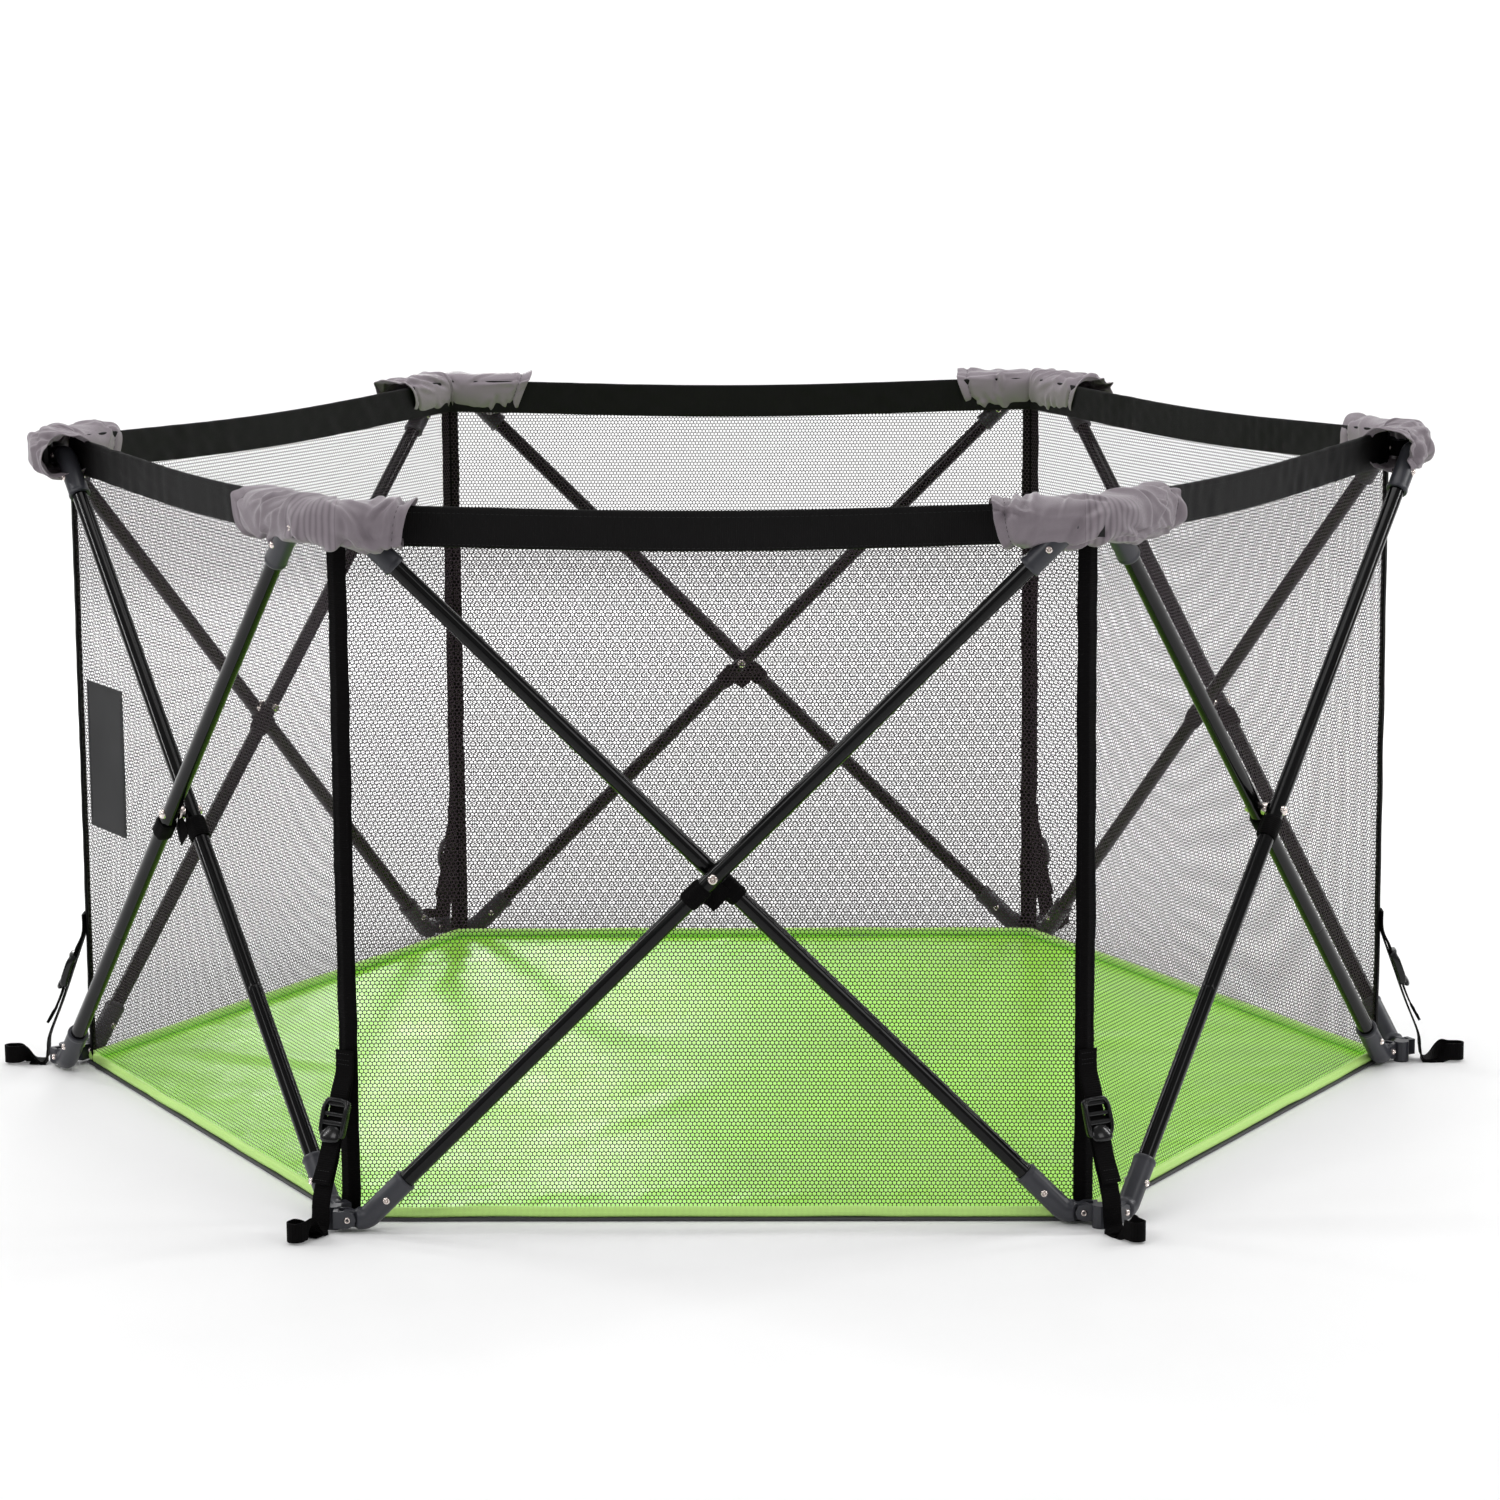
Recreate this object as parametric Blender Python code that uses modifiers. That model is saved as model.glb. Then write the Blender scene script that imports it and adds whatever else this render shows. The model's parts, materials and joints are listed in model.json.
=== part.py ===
"""Travel play yard: a hexagonal ring of six scissor panels round a fabric tub with a floor.

Metres, +Z up. The origin is on the ground under the middle of the floor, and one side faces -Y.
Hubs and panels are numbered 1 to 6 counterclockwise seen from above, from the front left corner.
Panel i runs from hub i to hub i + 1, and its frame has x along the panel, y into the yard, z up.
A hub's frame has x away from the yard's axis, y counterclockwise and z up, at the ring's corner.
"""

import math

import bmesh
import bpy
from mathutils import Matrix, Vector

SIDES = 6
FIRST_CORNER = math.radians(240)  # direction of hub 1 from the yard's axis

# Ring and scissor
RING_RADIUS = 0.705  # yard's axis to a corner, on the plane midway between the two tubes
TOP_PIN_HEIGHT = 0.648
PIN_INSET = 0.015  # corner to hub pin, along the panel
ELBOW_REACH = 0.0175  # hub pin to where the tube's axis crosses the pin's level
ELBOW_LIFT = 0.002  # ground to a foot elbow's underside
FOLDED_GAP = 0.001  # between a panel's two elbows when it is folded

# Tubes and elbows
TUBE_RADIUS = 0.008
TUBE_WALL = 0.0012
SOCKET_WALL = 0.0025
ELBOW_BEND = 0.014  # radius of the elbow's centre line
SOCKET_LENGTH = 0.052  # from the bend's corner to the socket's mouth
SOCKET_FLOOR = 0.012  # from the bend's corner to the tube's end
TONGUE = 0.008  # thickness of the flat end that sits in the clevis
LUG_RADIUS = 0.008  # round end of a tongue or a clevis cheek
ARM_START = 0.010  # pin to the elbow's round arm

# Pins and rivets
PIN_RADIUS = 0.0025
RIVET_RADIUS = 0.0025
RIVET_HEAD_RADIUS = 0.0045
RIVET_HEAD = 0.0015
WASHER_RADIUS = 0.0065

# Brackets
CORE_RADIUS = 0.008
CHEEK = 0.004
CORE_CROWN = 0.001  # how far the core stands over the clevises
CLEVIS_ROOT = 0.002  # corner to the near side of a clevis
PIN_STANDOUT = 0.001

# Webbing, buckle and stake loop
STRAP_WIDTH = 0.020
STRAP_THICKNESS = 0.002
STRAP_CLEARANCE = 0.0004  # bracket's outer clevis to the strap in front of it
STRAP_TOP_HEIGHT = 0.150
STRAP_BEND_HEIGHT = 0.024
BUCKLE_WIDTH = 0.025
BUCKLE_LENGTH = 0.035
BUCKLE_THICKNESS = 0.009
BUCKLE_HEIGHT = 0.100
LOOP_LENGTH = 0.050
LOOP_WIDTH = 0.017
LOOP_HEIGHT = 0.018

# Fabric
WALL_CLEARANCE = 0.002  # inner tube's elbows to the mesh wall
WALL_THICKNESS = 0.002
WALL_RISE = 0.0185  # top pin to the wall's top edge
FLOOR_THICKNESS = 0.0025
COVER_ARM = 0.105
COVER_CLEARANCE = 0.0013  # outer tube's elbows to the cover
COVER_HEIGHT = 0.040
COVER_RISE = 0.0275  # top pin to the cover's top
COVER_THICKNESS = 0.0015

GAP = 0.0003  # between pieces that touch
PLAY = 0.0004  # round a pin and beside a tongue
ROUND = 12  # sides of a tube, an elbow or a hub's core
SMALL_ROUND = 8  # sides of a pin, a rivet or a lug's end

# Worked out from the sizes above
SIDE = 2 * RING_RADIUS * math.sin(math.pi / SIDES)
TURN = 2 * math.pi / SIDES
ELBOW_RADIUS = TUBE_RADIUS + SOCKET_WALL
TUBE_OFFSET = ELBOW_RADIUS + FOLDED_GAP / 2  # each tube's plane from the panel's middle plane
FOOT_PIN_HEIGHT = ELBOW_RADIUS + ELBOW_LIFT
RISE = TOP_PIN_HEIGHT - FOOT_PIN_HEIGHT
RUN = SIDE - 2 * (PIN_INSET + ELBOW_REACH)
SLOPE = math.atan2(RISE, RUN)
ALONG = Vector((math.cos(SLOPE), 0, math.sin(SLOPE)))  # up an outer tube, in a panel's frame
CLEVIS_HALF = TONGUE / 2 + PLAY + CHEEK
STRAP_STANDOFF = (TUBE_OFFSET + CLEVIS_HALF) * math.cos(TURN / 2) + STRAP_CLEARANCE
WALL_OFFSET = TUBE_OFFSET + ELBOW_RADIUS + WALL_CLEARANCE + WALL_THICKNESS / 2
WALL_TOP = TOP_PIN_HEIGHT + WALL_RISE
COVER_OUTSIDE = TUBE_OFFSET + ELBOW_RADIUS + COVER_CLEARANCE + COVER_THICKNESS
COVER_TOP = TOP_PIN_HEIGHT + COVER_RISE
WALL_CORNER = WALL_OFFSET * math.tan(TURN / 2)  # where two walls' middle planes meet
FLAT = 1 / math.cos(math.pi / ROUND)  # an inscribed round's corners over its flats
SMALL_FLAT = 1 / math.cos(math.pi / SMALL_ROUND)


def clear_scene():
    for obj in list(bpy.data.objects):
        bpy.data.objects.remove(obj, do_unlink=True)


def new_collection(name):
    made = bpy.data.collections.new(name)
    bpy.context.scene.collection.children.link(made)
    return made


def helper(name, mesh):
    """A guide or cutter: it shapes parts and isn't one."""
    obj = bpy.data.objects.new(name, mesh)
    obj.hide_render = True
    obj.display_type = "WIRE"
    CUTTERS.objects.link(obj)
    return obj


def rod(name, start, end, radius, sides=ROUND):
    """A closed cylinder between two points."""
    start, end = Vector(start), Vector(end)
    turn = (end - start).to_track_quat("Z", "Y").to_matrix().to_4x4()
    bm = bmesh.new()
    bmesh.ops.create_cone(
        bm,
        cap_ends=True,
        segments=sides,
        radius1=radius,
        radius2=radius,
        depth=(end - start).length,
        matrix=Matrix.Translation((start + end) / 2) @ turn,
    )
    mesh = bpy.data.meshes.new(name)
    bm.to_mesh(mesh)
    bm.free()
    return helper(name, mesh)


def block(name, low, high):
    """A closed box between two corners."""
    low, high = Vector(low), Vector(high)
    bm = bmesh.new()
    size = Matrix.Diagonal((*(high - low), 1))
    bmesh.ops.create_cube(bm, size=1, matrix=Matrix.Translation((low + high) / 2) @ size)
    mesh = bpy.data.meshes.new(name)
    bm.to_mesh(mesh)
    bm.free()
    return helper(name, mesh)


def from_curve(name, curve, place=None):
    """A mesh helper from a curve, with its caps welded on."""
    source = bpy.data.objects.new(name + "_line", curve)
    CUTTERS.objects.link(source)
    bpy.context.view_layer.update()
    graph = bpy.context.evaluated_depsgraph_get()
    mesh = bpy.data.meshes.new_from_object(source.evaluated_get(graph))
    bpy.data.objects.remove(source)
    mesh.transform(place or Matrix.Identity(4))
    bm = bmesh.new()
    bm.from_mesh(mesh)
    bmesh.ops.remove_doubles(bm, verts=bm.verts, dist=0.00001)
    bmesh.ops.recalc_face_normals(bm, faces=bm.faces)
    bm.to_mesh(mesh)
    bm.free()
    return helper(name, mesh)


def bar(name, points, radius):
    """A round bar along a line of points."""
    curve = bpy.data.curves.new(name, "CURVE")
    curve.dimensions = "3D"
    curve.bevel_depth = radius
    curve.bevel_resolution = ROUND // 2 - 2
    curve.use_fill_caps = True
    line = curve.splines.new("POLY")
    line.points.add(len(points) - 1)
    for point, place in zip(line.points, points):
        point.co = (*place, 1)
    return from_curve(name, curve)


def slab(name, outlines, thickness, place):
    """A flat outline, with any holes, made thick both ways from its plane."""
    curve = bpy.data.curves.new(name, "CURVE")
    curve.dimensions = "2D"
    curve.fill_mode = "BOTH"
    curve.extrude = thickness / 2
    for outline in outlines:
        line = curve.splines.new("POLY")
        line.use_cyclic_u = True
        line.points.add(len(outline) - 1)
        for point, place_2d in zip(line.points, outline):
            point.co = (*place_2d, 0, 1)
    return from_curve(name, curve, place)


def turned(name, profile, place):
    """A shape of revolution about z, from (radius, height) points that run from top to bottom."""
    mesh = bpy.data.meshes.new(name)
    edges = [(i, i + 1) for i in range(len(profile) - 1)]
    mesh.from_pydata([(radius, 0, height) for radius, height in profile], edges, [])
    made = helper(name, mesh)
    made.matrix_world = place
    screw = made.modifiers.new("Turn", "SCREW")
    screw.axis = "Z"
    screw.steps = screw.render_steps = SMALL_ROUND
    screw.use_merge_vertices = True
    screw.merge_threshold = 0.00001
    return made


def combine(base, others, operation):
    """Joins or cuts a helper that isn't placed yet with others, which then go where it goes."""
    for other in others:
        other.parent = base
        change = base.modifiers.new(operation.title() + "_" + other.name, "BOOLEAN")
        change.operation = operation
        change.object = other
        change.solver = "EXACT"
    return base


def finished(base):
    """The mesh of a helper with its modifiers, ready to be placed as many times as needed."""
    bpy.context.view_layer.update()
    graph = bpy.context.evaluated_depsgraph_get()
    mesh = bpy.data.meshes.new_from_object(base.evaluated_get(graph))
    mesh.name = base.name + "_mesh"
    mesh.shade_smooth()
    mesh.set_sharp_from_angle(angle=math.radians(35))
    return mesh


def material(name, color, roughness, metallic=0.0):
    made = bpy.data.materials.new(name)
    made.use_nodes = True
    made.diffuse_color = (*color, 1)
    shader = made.node_tree.nodes["Principled BSDF"]
    shader.inputs["Base Color"].default_value = (*color, 1)
    shader.inputs["Roughness"].default_value = roughness
    shader.inputs["Metallic"].default_value = metallic
    return made


def part(name, mesh, finish, place):
    obj = bpy.data.objects.new(name, mesh)
    obj.matrix_world = place
    if not mesh.materials:
        mesh.materials.append(finish)
    PARTS.objects.link(obj)
    return obj


def hub_frame(number, height=0.0):
    angle = FIRST_CORNER + TURN * (number - 1)
    return Matrix.Rotation(angle, 4, "Z") @ Matrix.Translation((RING_RADIUS, 0, height))


def panel_frame(number):
    """At hub number's corner on the ground, with x towards the next hub."""
    return hub_frame(number) @ Matrix.Rotation(math.pi / 2 + TURN / 2, 4, "Z")


def lug_outline(root, centre, way):
    """A bar from its root to a round end about its centre, which points +x or, with way -1, -x."""
    steps = SMALL_ROUND // 2
    turns = [math.pi / 2 - math.pi * step / steps for step in range(steps + 1)]
    end = [(centre + way * LUG_RADIUS * math.cos(t), LUG_RADIUS * math.sin(t)) for t in turns]
    return [(root, -LUG_RADIUS), (root, LUG_RADIUS), *end]


def elbow_line():
    """The centre line of an elbow's round arm and socket, from its pin, in a panel's plane."""
    tangent = ELBOW_BEND * math.tan(SLOPE / 2)
    centre = Vector((ELBOW_REACH - tangent, 0, ELBOW_BEND))
    steps = 3
    turns = [SLOPE * step / steps for step in range(steps + 1)]
    arc = [centre + ELBOW_BEND * Vector((math.sin(t), 0, -math.cos(t))) for t in turns]
    mouth = Vector((ELBOW_REACH, 0, 0)) + SOCKET_LENGTH * ALONG
    return [Vector((ARM_START, 0, 0)), *arc, mouth]


def elbow_shape(name):
    """A solid elbow with its pin hole, its pin at the origin and its tube rising along +x."""
    base = bar(name, elbow_line(), ELBOW_RADIUS)
    inside = ARM_START + TONGUE / 2  # the tongue's end is buried in the round arm
    upright = Matrix.Rotation(math.pi / 2, 4, "X")
    tongue = slab(name + "_tongue", [lug_outline(inside, 0, -1)], TONGUE, upright)
    hole_radius = (PIN_RADIUS + PLAY) * SMALL_FLAT
    hole = rod(name + "_hole", (0, -TONGUE, 0), (0, TONGUE, 0), hole_radius, SMALL_ROUND)
    combine(base, [tongue], "UNION")
    return combine(base, [hole], "DIFFERENCE")


def foot_elbow_mesh():
    """The elbow with the socket that takes a tube's lower end."""
    base = elbow_shape("foot_elbow")
    corner = Vector((ELBOW_REACH, 0, 0))
    start = corner + (SOCKET_FLOOR - GAP) * ALONG
    end = corner + (SOCKET_LENGTH + TUBE_RADIUS) * ALONG
    socket = rod("socket_bore", start, end, TUBE_RADIUS + GAP * FLAT)
    return finished(combine(base, [socket], "DIFFERENCE"))


def tube_shape(name, bend_top):
    """A tube with its top elbow, in the frame of the panel's lower pin on its side."""
    inset = Vector((ELBOW_REACH, 0, 0)) + SOCKET_FLOOR * ALONG
    far_pin = Vector((SIDE - 2 * PIN_INSET, 0, RISE))
    head = far_pin - inset
    base = rod(name, inset, head, TUBE_RADIUS)
    over_end = TUBE_RADIUS * ALONG
    bore = rod(name + "_bore", inset - over_end, head - over_end, TUBE_RADIUS - TUBE_WALL)
    over = helper(name + "_top", bend_top.copy())
    over.matrix_world = Matrix.Translation(far_pin) @ Matrix.Rotation(math.pi, 4, "Y")
    combine(base, [bore], "DIFFERENCE")
    return combine(base, [over], "UNION")


def crossing_place():
    """The crossing in a tube's frame, with z through both tubes and a flat side to each tube's edge."""
    centre = Matrix.Translation(((SIDE - 2 * PIN_INSET) / 2, 0, RISE / 2))
    across = Matrix.Rotation(-math.pi / 2, 4, "X")
    return centre @ across @ Matrix.Rotation(math.pi / SMALL_ROUND - SLOPE, 4, "Z")


def crossing_rivet():
    """The rivet that the outer tube carries through the inner one, with its washer and heads."""
    outside = -TUBE_RADIUS
    inner_face = 2 * TUBE_OFFSET - TUBE_RADIUS - GAP
    tail = 2 * TUBE_OFFSET + TUBE_RADIUS + GAP
    profile = [
        (0, tail + RIVET_HEAD),
        (RIVET_HEAD_RADIUS, tail + RIVET_HEAD),
        (RIVET_HEAD_RADIUS, tail),
        (RIVET_RADIUS, tail),
        (RIVET_RADIUS, inner_face),
        (WASHER_RADIUS, inner_face),
        (WASHER_RADIUS, TUBE_RADIUS - TUBE_WALL),
        (RIVET_RADIUS, TUBE_RADIUS - TUBE_WALL),
        (RIVET_RADIUS, outside + RIVET_HEAD),
        (RIVET_HEAD_RADIUS, outside + RIVET_HEAD),
        (RIVET_HEAD_RADIUS, outside - RIVET_HEAD),
        (0, outside - RIVET_HEAD),
    ]
    return turned("rivet", profile, crossing_place())


def outer_tube_mesh(bend_top):
    return finished(combine(tube_shape("outer_tube", bend_top), [crossing_rivet()], "UNION"))


def inner_tube_mesh(bend_top):
    """The same tube with a cross hole for the rivet; it is turned round to lean the other way."""
    half = 2 * TUBE_RADIUS
    radius = (RIVET_RADIUS + PLAY) * SMALL_FLAT
    profile = [(0, half), (radius, half), (radius, -half), (0, -half)]
    hole = turned("rivet_hole", profile, crossing_place())
    return finished(combine(tube_shape("inner_tube", bend_top), [hole], "DIFFERENCE"))


def clevis(name, turn):
    """A clevis with its pin for one panel, from the hub's corner at pin height."""
    place = Matrix.Translation((0, -TUBE_OFFSET, 0)) @ Matrix.Rotation(math.pi / 2, 4, "X")
    base = slab(name, [lug_outline(CLEVIS_ROOT, PIN_INSET, 1)], 2 * CLEVIS_HALF, place)
    slot_half = TONGUE / 2 + PLAY
    throat = PIN_INSET - LUG_RADIUS - 2 * PLAY
    low = (throat, -TUBE_OFFSET - slot_half, -2 * LUG_RADIUS)
    high = (PIN_INSET + 2 * LUG_RADIUS, -TUBE_OFFSET + slot_half, 2 * LUG_RADIUS)
    combine(base, [block(name + "_slot", low, high)], "DIFFERENCE")
    reach = CLEVIS_HALF + PIN_STANDOUT
    pin_ends = [(PIN_INSET, -TUBE_OFFSET + way * reach, 0) for way in (-1, 1)]
    combine(base, [rod(name + "_pin", *pin_ends, PIN_RADIUS, SMALL_ROUND)], "UNION")
    base.matrix_world = Matrix.Rotation(turn, 4, "Z")
    return base


def bracket_mesh():
    """The hub bracket at pin height: a core with two clevises and their pins. It stands on -z."""
    top = LUG_RADIUS + CORE_CROWN
    base = rod("bracket", (0, 0, -FOOT_PIN_HEIGHT), (0, 0, top), CORE_RADIUS)
    lean = math.pi / 2 + TURN / 2
    clevises = [clevis("next_clevis", lean), clevis("last_clevis", -lean)]
    return finished(combine(base, clevises, "UNION"))


def loop_outlines():
    """The stake loop from above: a band that widens to a round end, and the gap inside it."""

    def teardrop(start, neck, end_radius, centre):
        steps = 8
        turns = [math.pi / 2 - math.pi * step / steps for step in range(steps + 1)]
        end = [(centre + end_radius * math.cos(t), end_radius * math.sin(t)) for t in turns]
        return [(start, -neck), (start, neck), *end]

    centre = STRAP_STANDOFF + LOOP_LENGTH - LOOP_WIDTH / 2
    outer = teardrop(STRAP_STANDOFF, LOOP_WIDTH / 4, LOOP_WIDTH / 2, centre)
    inner_end = LOOP_WIDTH / 2 - STRAP_THICKNESS
    gap_start = STRAP_STANDOFF + LOOP_LENGTH / 4
    inner = teardrop(gap_start, LOOP_WIDTH / 4 - STRAP_THICKNESS / 2, inner_end, centre)
    return [outer, inner]


def strap_mesh():
    """The corner strap from the tub down to the bracket, with its buckle and its stake loop."""
    top = Vector((STRAP_THICKNESS - WALL_OFFSET / math.cos(TURN / 2), STRAP_TOP_HEIGHT))
    bend = Vector((STRAP_STANDOFF, STRAP_BEND_HEIGHT))
    slant = (top - bend).normalized()
    thick = STRAP_THICKNESS
    outward = Vector((slant.y, -slant.x)) * thick
    outline = [
        (bend.x, 0),
        (bend.x + thick, 0),
        (bend.x + thick, bend.y),
        tuple(top + outward),
        tuple(top),
        (bend.x, bend.y),
    ]
    upright = Matrix.Rotation(math.pi / 2, 4, "X")
    base = slab("strap", [outline], STRAP_WIDTH, upright)
    share = (BUCKLE_HEIGHT - bend.y) / (top.y - bend.y)
    centre = bend.lerp(top, share) + outward / 2
    half = Vector((BUCKLE_THICKNESS, BUCKLE_WIDTH, BUCKLE_LENGTH)) / 2
    buckle = block("strap_buckle", -half, half)
    lean = math.atan2(slant.x, slant.y)
    buckle.matrix_world = Matrix.Translation((centre.x, 0, centre.y)) @ Matrix.Rotation(lean, 4, "Y")
    lift = Matrix.Translation((0, 0, LOOP_HEIGHT / 2))
    loop = slab("strap_loop", loop_outlines(), LOOP_HEIGHT, lift)
    return finished(combine(base, [buckle, loop], "UNION"))


def cover_outline(outside, inside, arm):
    """The plan of a corner sleeve in its hub's frame, between two distances from the panel planes."""

    def place(along, out, way):
        lean = TURN / 2
        x = -along * math.sin(lean) + out * math.cos(lean)
        return (x, way * (along * math.cos(lean) + out * math.sin(lean)))

    corner = 1 / math.cos(TURN / 2)
    outer = [place(arm, outside, 1), (outside * corner, 0), place(arm, outside, -1)]
    inner = [place(arm, -inside, -1), (-inside * corner, 0), place(arm, -inside, 1)]
    return outer + inner


def cover_mesh():
    """The sleeve over a top hub: a trough open below and at both ends."""
    inside = WALL_OFFSET + WALL_THICKNESS / 2 + GAP
    outer = cover_outline(COVER_OUTSIDE, inside + COVER_THICKNESS, COVER_ARM)
    cut = cover_outline(COVER_OUTSIDE - COVER_THICKNESS, inside, COVER_ARM + COVER_THICKNESS)
    middle = COVER_TOP - COVER_HEIGHT / 2
    base = slab("cover", [outer], COVER_HEIGHT, Matrix.Translation((0, 0, middle)))
    drop = Matrix.Translation((0, 0, middle - COVER_THICKNESS))
    return finished(combine(base, [slab("cover_hollow", [cut], COVER_HEIGHT, drop)], "DIFFERENCE"))


def wall_mesh():
    """One mesh wall of the tub, in its panel's frame."""
    end = WALL_CORNER + WALL_THICKNESS + GAP
    low = (end, WALL_OFFSET - WALL_THICKNESS / 2, FLOOR_THICKNESS + GAP)
    high = (SIDE - end, WALL_OFFSET + WALL_THICKNESS / 2, WALL_TOP)
    return finished(block("wall", low, high))


def floor_mesh():
    """The floor, out to the mesh walls' outer faces."""
    flat = SIDE / 2 / math.tan(TURN / 2) - WALL_OFFSET + WALL_THICKNESS / 2
    corner = flat / math.cos(TURN / 2)
    turns = [FIRST_CORNER + TURN * i for i in range(SIDES)]
    points = [(corner * math.cos(t), corner * math.sin(t)) for t in turns]
    lift = Matrix.Translation((0, 0, FLOOR_THICKNESS / 2))
    return finished(slab("floor_plan", [points], FLOOR_THICKNESS, lift))


def make_frame():
    """Brackets, elbows and tubes of all six panels."""
    plastic = material("slate_plastic", (0.055, 0.058, 0.07), 0.45)
    bracket_finish = material("black_plastic", (0.02, 0.02, 0.022), 0.5)
    steel = material("gloss_black_steel", (0.008, 0.008, 0.009), 0.18)
    elbow, bracket = foot_elbow_mesh(), bracket_mesh()
    bend_top = finished(elbow_shape("top_elbow"))
    outer, inner = outer_tube_mesh(bend_top), inner_tube_mesh(bend_top)
    flip = Matrix.Rotation(math.pi, 4, "X")
    about = Matrix.Rotation(math.pi, 4, "Z")
    near_pin = Matrix.Translation((PIN_INSET, -TUBE_OFFSET, FOOT_PIN_HEIGHT))
    far_pin = Matrix.Translation((SIDE - PIN_INSET, TUBE_OFFSET, FOOT_PIN_HEIGHT)) @ about
    for i in range(1, SIDES + 1):
        part(f"foot_bracket_{i}", bracket, bracket_finish, hub_frame(i, FOOT_PIN_HEIGHT))
        part(f"top_bracket_{i}", bracket, bracket_finish, hub_frame(i, TOP_PIN_HEIGHT) @ flip)
        part(f"outer_foot_elbow_{i}", elbow, plastic, panel_frame(i) @ near_pin)
        part(f"inner_foot_elbow_{i}", elbow, plastic, panel_frame(i) @ far_pin)
        part(f"outer_tube_{i}", outer, steel, panel_frame(i) @ near_pin)
        part(f"inner_tube_{i}", inner, steel, panel_frame(i) @ far_pin)


def make_fabric():
    """Straps, covers, walls and the floor."""
    webbing = material("black_webbing", (0.012, 0.012, 0.013), 0.8)
    sleeve = material("grey_fabric", (0.17, 0.155, 0.175), 0.75)
    netting = material("black_mesh", (0.03, 0.028, 0.03), 0.8)
    lining = material("lime_fabric", (0.22, 0.55, 0.03), 0.6)
    strap, cover, wall = strap_mesh(), cover_mesh(), wall_mesh()
    for i in range(1, SIDES + 1):
        part(f"foot_strap_{i}", strap, webbing, hub_frame(i))
        part(f"corner_cover_{i}", cover, sleeve, hub_frame(i))
        part(f"mesh_wall_{i}", wall, netting, panel_frame(i))
    part("floor", floor_mesh(), lining, Matrix.Identity(4))


clear_scene()
PARTS = new_collection("Travel play yard")
CUTTERS = new_collection("Travel play yard cutters")
make_frame()
make_fabric()
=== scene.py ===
"""Travel play yard: the finished looks of a folding six-sided yard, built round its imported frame.

Each operator makes one kind of piece as surfaces worked out with numpy, gives it a procedural
finish and hangs it on the body it moves with. Metres, +Z up, the yard's axis at the origin.
Panels and hubs are numbered as in the frame: panel i runs from hub i to hub i + 1.
"""

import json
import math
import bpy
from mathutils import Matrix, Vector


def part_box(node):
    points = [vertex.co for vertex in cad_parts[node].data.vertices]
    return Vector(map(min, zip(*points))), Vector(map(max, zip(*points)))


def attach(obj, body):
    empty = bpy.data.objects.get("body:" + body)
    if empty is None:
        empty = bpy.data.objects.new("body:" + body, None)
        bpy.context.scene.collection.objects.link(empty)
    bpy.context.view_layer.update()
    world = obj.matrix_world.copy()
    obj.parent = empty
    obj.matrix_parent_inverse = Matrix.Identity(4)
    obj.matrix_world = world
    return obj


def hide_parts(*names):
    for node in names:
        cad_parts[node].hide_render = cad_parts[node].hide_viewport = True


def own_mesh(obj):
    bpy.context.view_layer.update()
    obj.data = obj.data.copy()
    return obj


bl_info = {
    "name": "Travel Play Yard",
    "version": (1, 0, 0),
    "blender": (4, 5, 0),
    "location": "View3D > Sidebar > Play Yard",
    "description": "Builds the tubes, elbows, netting, webbing and floor of a folding play yard",
    "category": "Add Mesh",
}

import bmesh
import bpy
import numpy as np
from mathutils import Matrix, Vector

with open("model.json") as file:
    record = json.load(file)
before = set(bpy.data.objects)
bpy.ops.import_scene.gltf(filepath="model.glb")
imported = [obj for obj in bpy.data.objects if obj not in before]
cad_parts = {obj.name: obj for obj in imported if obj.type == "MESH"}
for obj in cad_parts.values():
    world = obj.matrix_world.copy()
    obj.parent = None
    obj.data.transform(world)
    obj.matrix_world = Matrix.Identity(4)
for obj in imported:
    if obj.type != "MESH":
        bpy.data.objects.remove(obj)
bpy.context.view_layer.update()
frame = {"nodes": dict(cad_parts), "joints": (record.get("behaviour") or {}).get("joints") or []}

# The frame's layout, read from its joints
SIDES = 6
TURN = 2 * math.pi / SIDES
JOINTS = {joint["name"]: joint for joint in frame["joints"]}
CROSSINGS = [np.array(JOINTS[f"crossing_{i + 1}"]["pos_m"]) for i in range(SIDES)]
OUTWARD = [np.array(JOINTS[f"crossing_{i + 1}"]["axis"]) for i in range(SIDES)]
UP = np.array([0.0, 0.0, 1.0])
ALONG = [np.cross(UP, outward) for outward in OUTWARD]  # towards the next hub
APOTHEM = float(CROSSINGS[0] @ OUTWARD[0])
SIDE = 2 * APOTHEM * math.tan(TURN / 2)
RING = APOTHEM / math.cos(TURN / 2)
FOOT_PIN = JOINTS["fold"]["pos_m"][2]
TOP_PIN = JOINTS["inner_top_pin_1"]["pos_m"][2]
RISE = TOP_PIN - FOOT_PIN
TUBE_OFFSET = float(np.array(JOINTS["fold"]["pos_m"]) @ OUTWARD[0]) - APOTHEM
PIN_REACH = -float(np.array(JOINTS["fold"]["pos_m"]) @ ALONG[0])  # panel's middle to a pin
FOLD = math.radians(JOINTS["fold"]["range_deg"][1])
NET_PLANE = -float(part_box("mesh_wall_1")[0].y) - 0.001 - APOTHEM  # netting's place outward of the ring
COVER_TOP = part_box("corner_cover_1")[1].z
STRAP_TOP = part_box("foot_strap_1")[1].z
CORNER_INSET = -NET_PLANE * math.tan(TURN / 2)  # hub to the tub's corner, along a panel
TUB_CORNER = (APOTHEM + NET_PLANE) / math.cos(TURN / 2)

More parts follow.
